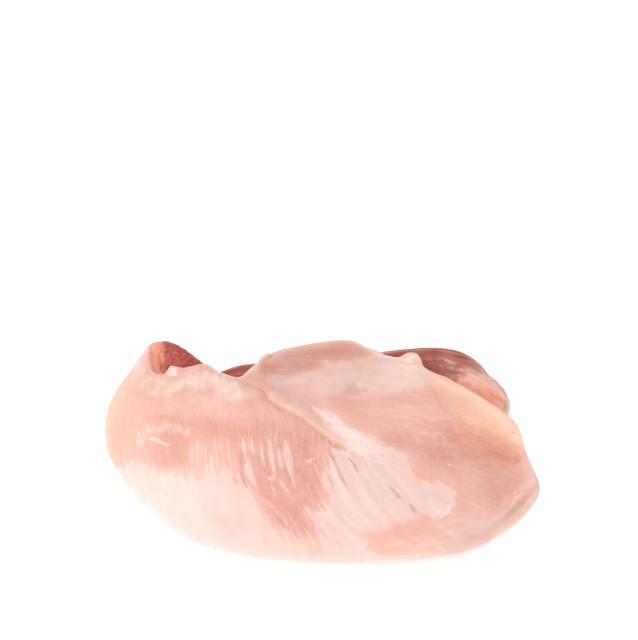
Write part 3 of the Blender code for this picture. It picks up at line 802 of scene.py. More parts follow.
fan_x, fan_y = plan_x - FAN_ROOT[0], plan_y - FAN_ROOT[1]
fan = 0.7 * mottle((16 * np.arctan2(fan_y, fan_x), 0.2 * np.hypot(fan_y, fan_x)), 1, 65)
fan += 0.6 * mottle(plan, 0.9, 66)
lip_away, lip_share, lip_side = near_line(LIP_RIDGE, plan)
lip_fade = ease(lip_share * 6 + 0.3) * ease((1 - lip_share) * 2.5)
lip_drop = 0.26 * bell(lip_away, 1.2) - 0.32 * ease(lip_away / 3) * (1 - ease((lip_away - 2.6) / 5))
lip_wander = lip_away * np.sign(lip_side) + 0.5 * mottle(plan, 4, 48)
# Fine lines along the lip's crest: faint ridges, painted with glints
lip_glint_strands = np.clip(np.sin(lip_wander * 5.2), 0, 1) * bell(lip_wander + 0.6, 2.2) * lip_fade
lip_glint_strands *= np.clip(0.6 + 0.7 * mottle(plan, 2.4, 49), 0, 1)

# How far the finished skin stands out from the body, in millimetres
evenly = (0.4 + 0.6 * front_lobe) * (1 - 0.85 * oval(*CALM_DIP))
rise = 0.11 * strands * (0.09 + 0.62 * streaky + 0.02 * middle) * evenly
rise += 0.3 * bundles * (0.03 + 0.55 * streaky + 0.03 * middle) * evenly
rise += 0.14 * mottle(plan, 11, 31) + 0.05 * mottle(plan, 4.5, 32)
rise += sum(height * line_of(line, plan, width, 0.25) for line, width, height in SWELLINGS)
rise += fat_band * (0.24 + 0.14 * mottle(plan, 2.2, 33) + 0.05 * mottle(plan, 0.9, 80)) + 0.22 * loop
rise -= 0.38 * low_crease + 0.14 * line_of(UP_CREASE, plan, 0.45, 0.4)
rise -= 0.4 * line_of(BANK_CREASE, plan, 0.7, 0.3)
rise += 0.3 * line_of(RIM_LINE, wander, 1.8) * (1 - shelf) * (1 + 0.5 * mottle(plan, 1.8, 34))
rise += shelf * (0.16 * mottle(plan, 1.5, 35) + 0.12 * fan)
rise += 1.1 * flap - 0.35 * line_of(FLAP_CREASE, plan, 0.6, 0.3)
body_points = np.stack([plan_x, plan_y, body[:, 2]], 1)
for *centre, wide, high in BACK_EDGE:
    rise += high * bell(np.linalg.norm(body_points - centre, axis=1), wide)
rise += 0.25 * nub_bump * mottle(plan, 2, 37) - 0.5 * line_of(NUB_CREASE, plan, 0.7, 0.3)
rise += 0.12 * leaves + 0.08 * strays + 0.04 * glint_threads - 0.28 * nicks
rise += lip_fade * np.where(lip_side > 0, lip_drop, 0.3 * bell(lip_away, 2.6)) + 0.14 * lip_glint_strands
rise -= 0.45 * line_of(CREASE, plan, 0.9, 0.5)
skin = body + normals_of(breast_mesh) * (rise * skin_up)[:, None]
skin[:, 2] = np.maximum(skin[:, 2], 0)

# What the patches share: coordinates that the fibres tear, and zones that several patches use
comb = (0.4 * strands + 0.35 * bundles + 0.35 * threads) * (1.3 + 2.6 * streaky + 1.6 * middle)
torn = swayed(combed(plan, comb), (0.5, 1.8, 43, 44))
ragged = swayed(plan, (0.7, 2, 43, 44))
lumpy = swayed(ragged, (1, 3.5, 63, 64))
grit = 0.5 * strands + 0.4 * threads
hatch = 0.9 * strands + 0.8 * threads
red_patch = spot(RED_PATCH, 4, grit)
lip_face = inside(LIP_FACE, plan, 2)
# The low front edge is wet; it and the front-left are also painted paler, as painted light
low_front = ease((13 - body[:, 2]) / 6) * (plan_y < -5) * ease((52 - plan_x) / 20)
front_light_paint = spot(FRONT_LIGHT_PAINT, 9)
front_rose = spot(FRONT_ROSE, 5)
rose_band = spot(ROSE_BAND, 9, 0.3 * grit)
rose_dip = spot(ROSE_DIP, 7)
tip_corner = ease((plan_x - 76.5) / 4.5)
tip_under = spot(TIP_UNDER, 6)
tip_tan = spot(TIP_TAN, 12, 0.3 * grit)
tip_edge = line_of(TIP_EDGE, plan, 1.8, 0.2)
lip_lilac = inside(LIP_LILAC, plan, 2.6)
film_top = ease((plan_y - 0.35 * plan_x - 15) / 9)
# The film behind the seam, sharper-edged at its top: its paleness is partly a painted sheen
back_film_sheen = inside(BACK_FILM_SHEEN, lumpy, 4.5, 0.3 * threads) * film_top + spot(BACK_FILM_SHEEN, 7) * (1 - film_top)
back_cream = back_film_sheen * ease((plan_x - 17) / 14)
blemish = inside(BLEMISH, ragged, 2.5, grit)
veil_tail = inside(VEIL_TAIL, ragged, 3.5, 0.3 * grit) * (1 - 0.8 * fat_band)
dry_gap = line_of(DRY_GAP, plan, 1.5, 0.2) * (1 - leaves)
dry_spot = inside(DRY_SPOT, torn, 2.5, grit)

frayed = 0.6 + 0.6 * ease((plan_x - 12) / 14)
crinkled = combed(swayed(torn, (frayed, 1.3, 71, 72)), 0.7 * hatch)
crisp = np.clip(0.62 + 0.5 * mottle(plan, 8, 73), 0.2, 1)
wet_centre = crisp * inside(WET_CENTRE, crinkled, 1, 0.5 * grit) + (1 - crisp) * inside(WET_CENTRE, torn, 5)
stroke = inside(WET_STROKE, combed(ragged, hatch), 2, 0.8 * grit) * (0.65 + 0.35 * ease(0.6 + threads))
wet = np.maximum(inside(WET_LEFT, torn, 4, grit), 0.75 * stroke)
wet *= (1 - 0.5 * red_patch) * (1 - 0.5 * oval(*HATCHED_FRONT) * ease(0.35 - 1.5 * streaks))
wet *= 1 - 0.9 * inside(LEAF_ZONE, torn, 4)
wet = np.maximum(np.maximum(wet, wet_centre), 0.8 * low_front) * (1 - 0.85 * nicked)
wet *= 1 - 0.22 * ease(-0.2 - threads) * (1 - nicked)
wet *= (1 - 0.8 * dry_gap) * (1 - 0.7 * dry_spot) * (1 - 0.5 * front_rose)
wet = np.maximum(wet, 0.7 * inside(WET_FOOT, torn, 4, grit))
wet = np.maximum(wet, 0.6 * np.clip(strays, 0, 1) * ease(0.8 + threads))
wet = np.clip(np.maximum(wet, leaves + 0.6 * nub_bump + 0.3 * fat_band), 0, 1) * (1 - shelf)

# Where the cut shelf is painted as lit, orange; elsewhere it stays dark red as painted shade, and a round
# spot is shaded too
shelf_lit_side = ease((-59.8 - plan_x - 0.12 * (plan_y - 25)) / 5 + 0.25 * fan) * (1 - 0.6 * dot(*SHELF_DIP))
end_fold = inside(CREAM_FOLDS[1], ragged, 1.6)
rim_fold = ease(1.4 - near_line(RIM_LINE, lumpy)[0] / 2.2) * (1 - shelf) * (1 - end_fold)
cream_folds = inside(CREAM_FOLDS[0], lumpy, 4.5, 0.5 * grit) * (0.75 + 0.35 * mottle(plan, 2.4, 67))
cream_folds = np.maximum(cream_folds * (0.45 + 0.55 * ease((plan_x + 68) / 14)), end_fold) * (1 - shelf)
# Painted shadow under the back edge's crest, kept off the film behind the seam and fading toward the
# crest's back right
crest_shadow = spot(CREST_SHADOW, 14) * (1 - back_film_sheen)
crest_shadow *= 1 - 0.6 * ease((plan_y - 37) / 6) * ease((plan_x + 14) / 16)


def keep_patches(mesh, patches):
    for name, value in patches.items():
        values = np.clip(value, 0, 1).astype(np.float32)
        mesh.attributes.new(name, "FLOAT", "POINT").data.foreach_set("value", values)


# Where each tint and finish shows, from 0 to 1
keep_patches(breast_mesh, {
    "strand": 0.5 + 0.33 * (strands * lined * (1 - shelf) + 1.3 * fan * shelf),
    "bundle": 0.5 + 0.33 * bundles * lined,
    "thread": 0.5 + 0.33 * (threads * lined * (1 - shelf) + fan * shelf),
    "wet": wet,
    "fat": fat_band * (0.85 + 0.35 * mottle(plan, 2, 81)) + 0.7 * loop + 1.3 * nub_bump + flap
    + 0.3 * back_cream + 0.7 * tip_edge + 0.95 * line_of(BACK_LINE, wander, 3.6, 0.15),
    # Film: real membrane on the rim and the tip's edge, and painted sheen and light on the film behind the
    # seam, low on the front's right, on the front-left and along the low front edge
    "film": spot(CREAM_EDGE, 3) * (1 - shelf) * (0.8 + 0.3 * mottle(plan, 3, 41)) * (1 - 0.4 * rim_fold)
    + back_film_sheen * (0.9 + 0.15 * mottle(plan, 3.5, 42)) * (1 - 0.7 * blemish)
    + 0.5 * line_of(TIP_EDGE, plan, 2.2, 0.2) + 0.7 * tip_corner + 0.3 * spot(SMOOTH_PINK, 6)
    + 0.5 * spot(PALE_LOW, 7) * (1 - 0.6 * tip_tan)
    + 0.8 * (front_light_paint + low_front) * (1 - 0.6 * front_rose),
    # Pale: painted highlight and sheen on the film behind the seam, the front-left, the low front edge, the
    # seam's bank, the glint threads, the lip's crest, the tail and the wet middle; pale membrane on the
    # veil, the lip and the tip; and lilac spots, partly painted highlight
    "pale": (0.3 + 0.22 * mottle(plan, 14, 68)) * back_film_sheen * (1 - nub_bump) * (1 - 0.8 * blemish)
    + 0.2 * front_light_paint + 0.25 * low_front * (1 - 0.9 * ease((plan_x + 5) / 15))
    + 0.6 * inside(BANK_HIGHLIGHT, ragged, 3, 0.6 * grit)
    + 0.25 * sum(spot(outline, 5) for outline in LILAC_SPOTS)
    + 0.34 * glint_threads + 0.5 * lip_glint_strands + 0.5 * wet * spot(TAIL_WHITE, 4, grit)
    + 0.45 * wet_centre * ease(0.2 + 0.9 * streaks) * (0.4 + 0.6 * ease((26 - plan_x) / 12)) * (1 - nicked)
    + 0.3 * veil_tail * ease((plan_x + 3) / 6) + 0.35 * tip_under + 0.35 * tip_corner
    + 0.15 * inside(LIP_LILAC, plan, 2.6, 0.4 * grit) + 0.35 * spot(VEIL_SPOT, 2, 0.4 * grit),
    # Blush: redder meat; in the low crease, the nicks and the tip's crease it also darkens them as painted
    # crease shade
    "blush": 0.75 * spot(WEDGE, 5, grit) + 0.5 * sum(spot(outline, 5, grit) for outline in WEDGE_DEEP)
    + 0.55 * red_patch + 0.4 * line_of(RED_STREAK, wander, 2.2, 0.3) + 0.55 * spot(RED_BAND, 7, grit)
    + 1.1 * rose_band + 0.75 * rose_dip + line_of(TIP_CREASE, plan, 3, 0.3) + 0.25 * lip_face
    + 0.6 * nicks + 0.5 * low_crease + 0.35 * rim_fold + blemish + 0.45 * dry_gap + 0.3 * dry_spot
    + 0.4 * front_rose - sum(much * dot(*hole) for much, hole in PALE_HOLES),
    # Painted shade and tan: painted shadow under the crest and on the notch's bank, painted shade in the
    # low crease and the nicks, and darker tan and rose tones on the tip, the lip's face and the rose band
    "shade_and_tan": 0.8 * crest_shadow + 0.7 * spot(NOTCH_SHADE, 5) + 0.5 * tip_tan + 0.3 * rose_band
    + 0.75 * low_crease * (1 - 0.7 * ease(plan_x / 6)) + 0.45 * lip_face + 0.35 * nicks,
    "cut": shelf * (1 - 0.55 * bell(near_line(SHELF_RIM[:6], plan)[0], 1.7)),
    # Painted glints on the glistening part of the cut shelf
    "shine": shelf * inside(SHELF_SHINE, ragged, 5, 0.6 * fan),
    "cream": cream_folds + 0.5 * back_cream * (1 - ease((plan_x - 34) / 6)),
    # Rust: brown and tan marks, and painted shade along the low crease and the seam's low side
    "rust_and_crease_shade": 0.95 * spot(RUST_BANK, 7, 0.4 * grit) + 0.3 * line_of(FILM_CREASE, part_wander, 1.1, 0.2)
    + sum(dot(*freckle) for freckle in RUST_SPOTS) * above + 0.35 * low_crease + 0.26 * spot(RED_BAND, 7)
    + 0.5 * bell(near_line(LOW_CREASE[4:], plan)[0], 3) * (1 - fat_band)
    + 0.3 * spot(NOTCH_TAN, 5) + 0.36 * spot(TIP_TAN, 12) + 0.3 * rose_band + 0.2 * rose_dip,
    # The tip's crease: a red line darkened with painted crease shade
    "crease": 0.5 * line_of(TIP_CREASE, plan, 0.9, 0.5) + 0.3 * line_of(TIP_CREASE, plan, 3.4, 0.3),
    "down_hairs": oval(*HAIRS_ACROSS_FRONT) * (1 - fat_band),
    "cross_hairs": oval(*HAIRS_ALONG_TAIL) * (1 - 0.7 * wet),
    # Amber: amber and peach on the breast; on the cut shelf it marks the side painted as lit
    "amber": shelf * shelf_lit_side + 0.9 * spot(AMBER_PATCH, 5) + 0.5 * spot(PEACH, 8)
    + 0.45 * ease((-72 - plan_x) / 14),
    "veil": 0.9 * inside(VEIL_BAND, ragged, 3.6, 0.3 * grit) + 0.6 * spot(VEIL_SPOT, 2.6)
    + 0.25 * spot(GREY_HOLLOW, 6) + 0.4 * lip_lilac + 0.45 * lip_face + 0.5 * tip_corner
    + 0.75 * veil_tail + 0.4 * tip_under,
})


def place_piece(mesh, points):
    """The finished piece, its plan points moved into the frame."""
    set_points(mesh, (points - (PLAN_ORIGIN[0], PLAN_ORIGIN[1], 0)) * MM)
    piece = bpy.data.objects.new(mesh.name, mesh)
    bpy.context.scene.collection.objects.link(piece)
    return piece


breast = place_piece(breast_mesh, skin)

# Colours of the meat, and of the tints over it
FLESH_LIGHT = (0.785, 0.445, 0.35, 1)
FLESH_DEEP = (0.76, 0.41, 0.32, 1)
BLUSH = (0.64, 0.29, 0.23, 1)
# Brown of painted shade, also laid as tan on the tip
SHADE_AND_TAN = (0.58, 0.275, 0.215, 1)
# The cut shelf: dark red where shade is painted on it, orange on the side painted as lit, and painted
# glints
SHADED_CUT_MEAT = (0.36, 0.014, 0.007, 1)
LIT_CUT_MEAT = (0.76, 0.265, 0.165, 1)
CUT_SPARKLE = (0.7, 0.33, 0.25, 1)
# Rust-brown, also laid as painted crease shade
RUST_AND_CREASE_SHADE = (0.68, 0.275, 0.155, 1)
CREASE_RED_AND_SHADE = (0.57, 0.205, 0.12, 1)
CREAM = (0.9, 0.7, 0.61, 1)
AMBER = (0.88, 0.49, 0.32, 1)
# Pale film, also laid as painted sheen and light
FILM_AND_SHEEN = (0.8, 0.56, 0.48, 1)
# Pale, laid as painted highlight and sheen, as pale membrane, and on the light hairs
PALE_AND_HIGHLIGHT = (0.85, 0.64, 0.58, 1)
PALE_SPECK = (0.95, 0.75, 0.66, 1)
FAT = (0.88, 0.635, 0.48, 1)
VEIL = (0.58, 0.385, 0.37, 1)
WET_SHEEN = (0.69, 0.47, 0.4, 1)
FIBRE_SHADE = (0.8, 0.5, 0.46, 1)
HAIR_SHADE = (0.85, 0.66, 0.62, 1)
MEAT_SCATTER = (1, 0.32, 0.18)  # how far light goes in meat: red, green, blue
BUMP_DEPTH = 0.0003


def settle(made, **settings):
    """Set a node's own properties, and its sockets under their names."""
    for key, value in settings.items():
        if hasattr(made, key):
            setattr(made, key, value)
        else:
            made.inputs[key.replace("_", " ")].default_value = value
    return made


def node(tree, kind, **settings):
    return settle(tree.nodes.new(kind), **settings)


def feed(tree, made, *values):
    """Link or set a node's sockets, each given with its value."""
    for socket, value in values:
        if isinstance(value, bpy.types.NodeSocket):
            tree.links.new(value, made.inputs[socket])
        else:
            made.inputs[socket].default_value = value


def patch(tree, name):
    return node(tree, "ShaderNodeAttribute", attribute_name=name).outputs["Fac"]


def lumps(tree, vector, scale, detail=3, stretch=None):
    """Noise on the object's own coordinates, in lumps to the metre."""
    if stretch:
        turn = node(tree, "ShaderNodeMapping", Scale=stretch)
        feed(tree, turn, ("Vector", vector))
        vector = turn.outputs["Vector"]
    made = node(tree, "ShaderNodeTexNoise", Scale=scale, Detail=detail, Roughness=0.55)
    feed(tree, made, ("Vector", vector))
    return made.outputs["Fac"]


def reach_over(tree, value, low, high, to_low, to_high):
    made = node(tree, "ShaderNodeMapRange", interpolation_type="SMOOTHSTEP")
    sockets = ("Value", "From Min", "From Max", "To Min", "To Max")
    feed(tree, made, *zip(sockets, (value, low, high, to_low, to_high)))
    return made.outputs["Result"]


def blend(tree, share, under, over, mode="MIX"):
    made = node(tree, "ShaderNodeMix", data_type="RGBA", blend_type=mode)
    feed(tree, made, ("Factor", share), (6, under), (7, over))
    return made.outputs[2]


def calc(tree, what, first, second, third=0):
    made = node(tree, "ShaderNodeMath", operation=what)
    feed(tree, made, (0, first), (1, second), (2, third))
    return made.outputs[0]


def tinted(tree, colour, patchy, tints):
    """Tints laid on in order, each where its patch is, thinned by one share or by the lumps."""
    for name, thinning, tint in tints:
        if isinstance(thinning, tuple):
            thinning = reach_over(tree, patchy, *thinning)
        colour = blend(tree, calc(tree, "MULTIPLY", patch(tree, name), thinning), colour, tint)
    return colour


def new_meat(name):
    material = bpy.data.materials.new(name)
    material.use_nodes = True
    return material, material.node_tree, material.node_tree.nodes["Principled BSDF"]


def bumpy(tree, height, strength):
    made = node(tree, "ShaderNodeBump", Strength=strength, Distance=BUMP_DEPTH)
    feed(tree, made, ("Height", height))
    return made.outputs["Normal"]


meat, tree, shader = new_meat("moist breast meat")
place = node(tree, "ShaderNodeTexCoord").outputs["Object"]
broad, patchy, speckle = lumps(tree, place, 70), lumps(tree, place, 260, 4), lumps(tree, place, 1100)
colour = blend(tree, reach_over(tree, broad, 0.35, 0.65, 0, 1), FLESH_LIGHT, FLESH_DEEP)
# The cut: orange on the side painted as lit, dark red in its painted shade
raw_cut = blend(tree, patch(tree, "amber"), SHADED_CUT_MEAT, LIT_CUT_MEAT)
sparkle = reach_over(tree, lumps(tree, place, 2100, 2), 0.46, 0.66, 0, 0.55)
colour = tinted(tree, colour, patchy, (
    ("blush", (0.3, 0.7, 0.55, 1), BLUSH),
    ("amber", (0.3, 0.7, 1, 0.7), AMBER),
    ("film", (0.35, 0.6, 0.55, 1), FILM_AND_SHEEN),
    ("shade_and_tan", (0.3, 0.7, 0.7, 1), SHADE_AND_TAN),
    ("veil", 0.8, VEIL),
    ("fat", (0.3, 0.6, 0.7, 1), FAT),
    ("rust_and_crease_shade", (0.3, 0.7, 0.65, 0.95), RUST_AND_CREASE_SHADE),
    ("crease", 1, CREASE_RED_AND_SHADE),
    ("cream", (0.3, 0.6, 0.6, 1), CREAM),
    ("cut", (0.3, 0.7, 0.9, 1), raw_cut),
    ("shine", sparkle, CUT_SPARKLE),
    ("wet", 0.45, WET_SHEEN),
    ("pale", (0.3, 0.7, 0.8, 1), PALE_AND_HIGHLIGHT),
))
strand, bundle, thread = (patch(tree, name) for name in ("strand", "bundle", "thread"))
fibre = calc(tree, "ADD", calc(tree, "MULTIPLY", strand, 0.35), calc(tree, "MULTIPLY", bundle, 0.25))
fibre = calc(tree, "ADD", fibre, calc(tree, "MULTIPLY", thread, 0.4))
colour = blend(tree, reach_over(tree, fibre, 0.35, 0.65, 0.3, 0), colour, FIBRE_SHADE, "MULTIPLY")
for way, stretch in (("down_hairs", (1500, 90, 300)), ("cross_hairs", (90, 1200, 300))):
    hairs = lumps(tree, place, 1, 2, stretch)
    light_hairs = calc(tree, "MULTIPLY", reach_over(tree, hairs, 0.52, 0.68, 0, 0.26), patch(tree, way))
    dark_hairs = calc(tree, "MULTIPLY", reach_over(tree, hairs, 0.34, 0.48, 0.24, 0), patch(tree, way))
    colour = blend(tree, light_hairs, colour, PALE_AND_HIGHLIGHT)
    colour = blend(tree, dark_hairs, colour, HAIR_SHADE, "MULTIPLY")
off_the_cut = calc(tree, "MULTIPLY_ADD", patch(tree, "cut"), -0.6, 1)
pale_specks = calc(tree, "MULTIPLY", reach_over(tree, speckle, 0.45, 0.75, 0, 0.12), off_the_cut)
dull = reach_over(tree, patchy, 0.3, 0.7, 0.32, 0.42)
fine = calc(tree, "ADD", calc(tree, "ADD", strand, thread), calc(tree, "MULTIPLY", speckle, 0.25))
coat = reach_over(tree, patch(tree, "wet"), 0, 1, 0.12, 1)
feed(
    tree, shader,
    ("Base Color", blend(tree, pale_specks, colour, PALE_SPECK)),
    ("Roughness", calc(tree, "ADD", dull, calc(tree, "MULTIPLY", patch(tree, "cut"), 0.1))),
    ("Normal", bumpy(tree, fine, 0.35)),
    ("Coat Normal", bumpy(tree, fine, 0.25)),
    ("Coat Weight", calc(tree, "SUBTRACT", coat, calc(tree, "MULTIPLY", patch(tree, "cut"), 0.12))),
)
settle(shader, Specular_IOR_Level=0.5, Coat_Roughness=0.09, Coat_IOR=2.4)
settle(shader, Subsurface_Weight=0.35, Subsurface_Radius=MEAT_SCATTER, Subsurface_Scale=0.004)
breast_mesh.materials.append(meat)
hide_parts("breast_fillet")
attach(breast, "root")


# Inner fillet: the slender muscle from under the breast, pulled off the bone by
# hand. It is redder, in long lobes, and keeps a thin silvery skin.
STRIP_WAIST = 0.42  # height of the widest point, as a share of the thickness
STRIP_SIDES = 160
STRIP_STATIONS = 300
STRIP_UNROLLED = (130, 9)  # millimetres along the strip, and round it for each radian
POLE = 1e-6  # keeps the rings at the rod's poles from dividing by 0
STATION = 0.01  # share of the length between the points that give the strip its direction
SQUARING = (0.15, 1e-3)  # how square the strip's sides are across, and where that starts
LOBES = ((-0.55, 0.5, 0.35), (0.05, 0.9, 0.28), (0.62, 0.7, 0.3))  # furrows: place across, depth, width
SILVER_SKIN = ((38, 53), (50, 51), (57.5, 46), (61.5, 41), (62, 36), (55, 35), (48, 39), (40, 44))
# Glints, each a line with its width: glossier there, and painted paler as highlight
GLINTS = (
    (((48.7, 46.1), (50.2, 44.7), (51.8, 44.3), (53.5, 44.7)), 0.5),
    (((46.1, 42.1), (47.7, 41.4)), 0.35),
    (((49.6, 40.1), (51.2, 39.3), (52.7, 38)), 0.4),
    (((50.9, 41.6), (52.5, 40.5), (54.4, 38.5)), 0.4),
    (((54.5, 40.5), (56, 38.8)), 0.4),
    (((53.1, 37.7), (55.4, 35.9)), 0.4),
    (((56.5, 36), (59, 35.5), (62.3, 35.9)), 0.7),
    (((58.5, 34.2), (62.6, 33.8)), 0.45),
    (((63.1, 35.2), (65.8, 34.1), (67.4, 32.7)), 0.55),
)
GLOWING_LOBE = (
    (51.5, 37), (57, 38), (65, 36.8), (70, 33.2), (74, 28.8), (75, 22.4), (73.1, 17), (68.3, 18.9),
    (62.5, 23.8), (53.5, 30),
)
GLOW_DEEP = ((62.3, 29.8), (65.5, 28.2), (68.7, 26.4), (71.1, 24.9))
# Where the fillet tucks under the breast: deeper red, darkened further with painted shade, and less glossy
TUCKED_SHADE = ((36, 53.5), (46, 52.5), (49, 49), (49, 44), (46.5, 38.5), (38, 34), (10, 34), (10, 44), (30, 48))
BEIGE_END = ((46, 52), (58, 47), (63.5, 41), (61, 37), (54, 38), (50, 41), (47, 46))
CLEAR_RIM = ((56, 37), (60.5, 37.5), (65.6, 36.8), (70.4, 33.6), (73.6, 30), (74.8, 24), (74.4, 18))


def strip_point(share):
    return [blend_over([point[axis] for point in STRIP_LINE], share) for axis in (0, 1)]


rod = bmesh.new()
bmesh.ops.create_uvsphere(rod, u_segments=STRIP_SIDES, v_segments=STRIP_STATIONS, radius=1.0)
inner_mesh = bpy.data.meshes.new("inner_meat")
rod.to_mesh(inner_mesh)
rod.free()

ball = points_of(inner_mesh)
ring = np.maximum(np.hypot(ball[:, 0], ball[:, 1]), POLE)
share = 0.5 + np.arcsin(np.clip(ball[:, 2], -1, 1)) / math.pi
end, rounding = strip_end(share)
width = blend_over(STRIP_WIDTHS, share) * rounding
height = blend_over(STRIP_HEIGHTS, share) * rounding**0.6
line_x, line_y = strip_point(share)
ahead, behind = strip_point(share + STATION), strip_point(share - STATION)
step_x, step_y = ahead[0] - behind[0], ahead[1] - behind[1]
step = np.hypot(step_x, step_y)
sideways, lift = ball[:, 0] / ring, ball[:, 1] / ring
across = sideways * np.maximum(np.abs(sideways), SQUARING[1]) ** -SQUARING[0]
waist = STRIP_WAIST * height
upper = waist + (height - waist) * np.maximum(lift, 0) ** 0.8
lower = np.maximum(0, waist * (1 - np.maximum(-lift, 0) ** 0.55) - 0.2)
strip_x, strip_y = line_x - across * width * step_y / step, line_y + across * width * step_x / step
strip_body = np.stack([strip_x, strip_y, np.where(lift >= 0, upper, lower)], 1)
set_points(inner_mesh, strip_body)
inner_mesh.shade_smooth()

# Relief: furrows between the lobes, fibres along them, and wrinkles in the skin
along, around = share * STRIP_UNROLLED[0], np.arctan2(lift, sideways) * STRIP_UNROLLED[1]
unrolled = along, around
drift = around + 1.6 * mottle(unrolled, 18, 51)
fibre = 0.6 * mottle((along * 0.1, drift), 0.9, 52) + 0.4 * mottle((along * 0.16, drift), 0.45, 53)
furrow = 0
for seed, (furrow_place, depth, wide) in enumerate(LOBES, 54):
    sway = 0.12 * mottle((along, 0 * along), 22, seed)
    furrow = furrow + depth * bell(sideways + sway - furrow_place, wide)
wrinkle = mottle(unrolled, 3.5, 57) * 0.5 + mottle(unrolled, 1.6, 58) * 0.3
upside = ease(lift * 2.5 + 0.8)
rise = 0.16 * fibre - furrow * 0.8 + 0.12 * wrinkle + 0.25 * mottle(unrolled, 9, 59)
strip_skin = strip_body + normals_of(inner_mesh) * (upside * rise * ease(end * 1.6))[:, None]
strip_skin[:, 2] = np.maximum(strip_skin[:, 2], 0)
strip_at = strip_x + 0.9 * mottle(unrolled, 3, 60), strip_y + 0.9 * mottle(unrolled, 3, 62)
keep_patches(inner_mesh, {
    "fibre": 0.5 + 0.5 * fibre,
    "furrow": furrow,
    "silver": 0.6 * inside(SILVER_SKIN, strip_at, 4) * (0.7 + 0.5 * wrinkle)
    + 0.6 * ease(mottle((along * 0.12, drift), 1.3, 61) * 2 - 0.2),
    "glint": tapered(GLINTS, strip_at) * upside * ease(0.7 + fibre),
    "ember": inside(GLOWING_LOBE, strip_at, 7, 0.5 * fibre),
    "tucked_shade": inside(TUCKED_SHADE, strip_at, 10, 0.8 * fibre),
    "beige": inside(BEIGE_END, strip_at, 7, 0.8 * fibre) * (0.75 + 0.5 * wrinkle),
    "hot": line_of(GLOW_DEEP, strip_at, 3.2, 0.3),
    "clear": line_of(CLEAR_RIM, strip_at, 4.3, 0.1),
})
inner = place_piece(inner_mesh, strip_skin)

# Colours of the inner meat, and of the skin over it
INNER_ROSE = (0.46, 0.125, 0.08, 1)
INNER_DEEP = (0.33, 0.055, 0.035, 1)
# Deep red, darkened with painted shade, where the fillet tucks under the breast
TUCKED_SHADE_MEAT = (0.24, 0.018, 0.01, 1)
BEIGE = (0.56, 0.24, 0.18, 1)
INNER_EMBER = (0.77, 0.345, 0.215, 1)
INNER_HOT = (0.79, 0.25, 0.12, 1)
SILVER = (0.58, 0.3, 0.24, 1)
CLEAR_SKIN = (0.79, 0.54, 0.44, 1)
INNER_SHADE = (0.75, 0.45, 0.4, 1)

inner_meat, tree, shader = new_meat("silvery inner meat")
place = node(tree, "ShaderNodeTexCoord").outputs["Object"]
broad, patchy, speckle = lumps(tree, place, 90), lumps(tree, place, 320, 4), lumps(tree, place, 1200)
colour = blend(tree, reach_over(tree, broad, 0.35, 0.65, 0, 1), INNER_ROSE, INNER_DEEP)
colour = tinted(tree, colour, patchy, (
    ("tucked_shade", 0.85, TUCKED_SHADE_MEAT),
    ("beige", 0.8, BEIGE),
    ("ember", 1, INNER_EMBER),
    ("hot", 0.8, INNER_HOT),
    ("silver", (0.35, 0.65, 0.35, 0.9), SILVER),
    ("furrow", calc(tree, "MULTIPLY_ADD", patch(tree, "ember"), -0.45, 0.5), INNER_DEEP),
))
# The clear rim's pale skin, and the glints painted in pale over it as highlight
clear = calc(tree, "MULTIPLY", patch(tree, "clear"), reach_over(tree, patchy, 0.35, 0.65, 0.5, 0.85))
clear = calc(tree, "MAXIMUM", clear, calc(tree, "MULTIPLY", patch(tree, "glint"), 0.7))
colour = blend(tree, clear, colour, CLEAR_SKIN)
shade = reach_over(tree, patch(tree, "fibre"), 0.25, 0.75, 0.5, 0)
fine = calc(tree, "ADD", patch(tree, "fibre"), calc(tree, "MULTIPLY", speckle, 0.4))
relief = bumpy(tree, fine, 0.4)
dry_tuck = calc(tree, "MULTIPLY_ADD", patch(tree, "tucked_shade"), -0.9, 1)
skin_coat = calc(tree, "MULTIPLY", reach_over(tree, patchy, 0.35, 0.6, 0.2, 0.5), dry_tuck)
feed(
    tree, shader,
    ("Base Color", blend(tree, shade, colour, INNER_SHADE, "MULTIPLY")),
    ("Roughness", reach_over(tree, patchy, 0.3, 0.7, 0.3, 0.42)),
    ("Normal", relief),
    ("Coat Normal", relief),
    ("Coat Weight", calc(tree, "MAXIMUM", skin_coat, patch(tree, "glint"))),
)
settle(shader, Coat_Roughness=0.12, Coat_IOR=1.55)
settle(shader, Subsurface_Weight=0.35, Subsurface_Radius=MEAT_SCATTER, Subsurface_Scale=0.003)
inner_mesh.materials.append(inner_meat)
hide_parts("inner_fillet")
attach(inner, "root")


# Studio: a white sweep under the meat and a soft white surround, with one great
# softbox overhead, one to the left and one in front that meet its edges, and a
# smaller one behind on the right.
scene = bpy.context.scene
WHITE = (1, 1, 1, 1)
PAPER_WHITE = (0.97, 0.97, 0.965, 1)
PAPER_BELOW = -0.0001  # metres, so that the paper and the meat's sole don't share a plane
GLOW = 1.15

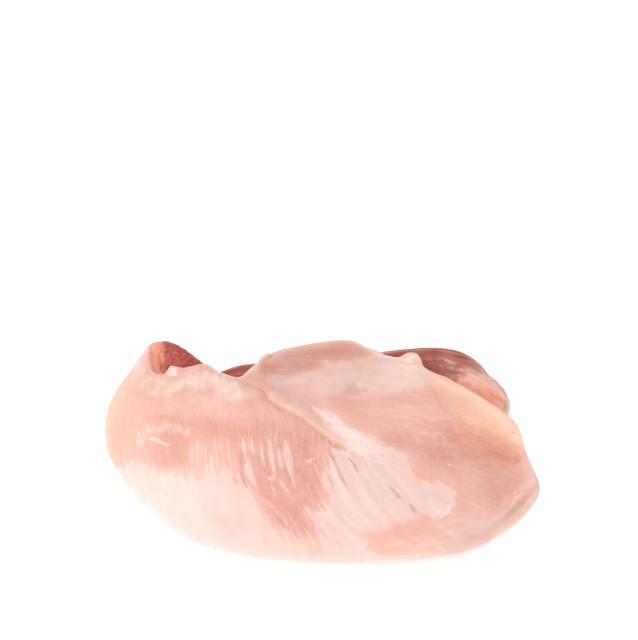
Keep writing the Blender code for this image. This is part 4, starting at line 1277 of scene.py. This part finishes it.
sheet = bmesh.new()
bmesh.ops.create_grid(sheet, x_segments=1, y_segments=1, size=3.0)
bmesh.ops.translate(sheet, verts=sheet.verts, vec=(0.0, 0.0, PAPER_BELOW))
floor_mesh = bpy.data.meshes.new("sweep")
sheet.to_mesh(floor_mesh)
sheet.free()
floor = bpy.data.objects.new("sweep", floor_mesh)
scene.collection.objects.link(floor)
paper = bpy.data.materials.new("white sweep")
paper.use_nodes = True
paper_shader = paper.node_tree.nodes["Principled BSDF"]
settle(paper_shader, Base_Color=PAPER_WHITE, Roughness=0.9, Emission_Color=WHITE, Emission_Strength=0.22)
floor_mesh.materials.append(paper)

world = bpy.data.worlds.new("white surround")
scene.world = world
world.use_nodes = True
settle(world.node_tree.nodes["Background"], Color=WHITE, Strength=0.18)


def softbox(name, place, aim, size, glow):
    """A soft panel that glows evenly: its power follows from its area."""
    data = bpy.data.lights.new(name, "AREA")
    data.shape = "RECTANGLE"
    data.size, data.size_y = size
    data.energy = glow * math.pi * size[0] * size[1]
    lamp = bpy.data.objects.new(name, data)
    scene.collection.objects.link(lamp)
    lamp.location = place
    east, north, up = np.array(aim) - np.array(place)
    lamp.rotation_euler = (math.atan2(math.hypot(east, north), -up), 0, math.atan2(-east, north))


softbox("top softbox", (0.25, 0.05, 1), (0.25, 0.05, 0), (2.9, 2.5), GLOW)
softbox("left softbox", (-1.2, 0.05, 0.5), (0, 0.05, 0.5), (2.5, 1), 1.4)
softbox("front softbox", (-0.2, -1.2, 0.5), (-0.2, 0, 0.5), (2, 1), GLOW)
softbox("rear softbox", (1, 1, 0.6), (0.05, 0.02, 0.02), (1.3, 0.8), 0.8)

lens = bpy.data.cameras.new("portrait lens")
lens.lens = 100
lens.sensor_width = 36
lens.clip_start = 0.01
camera = bpy.data.objects.new("portrait camera", lens)
scene.collection.objects.link(camera)
camera.location = (-0.00042, -0.39003, 0.58906)
camera.rotation_euler = (math.radians(38), 0, 0)
scene.camera = camera
scene.view_settings.view_transform = "Standard"
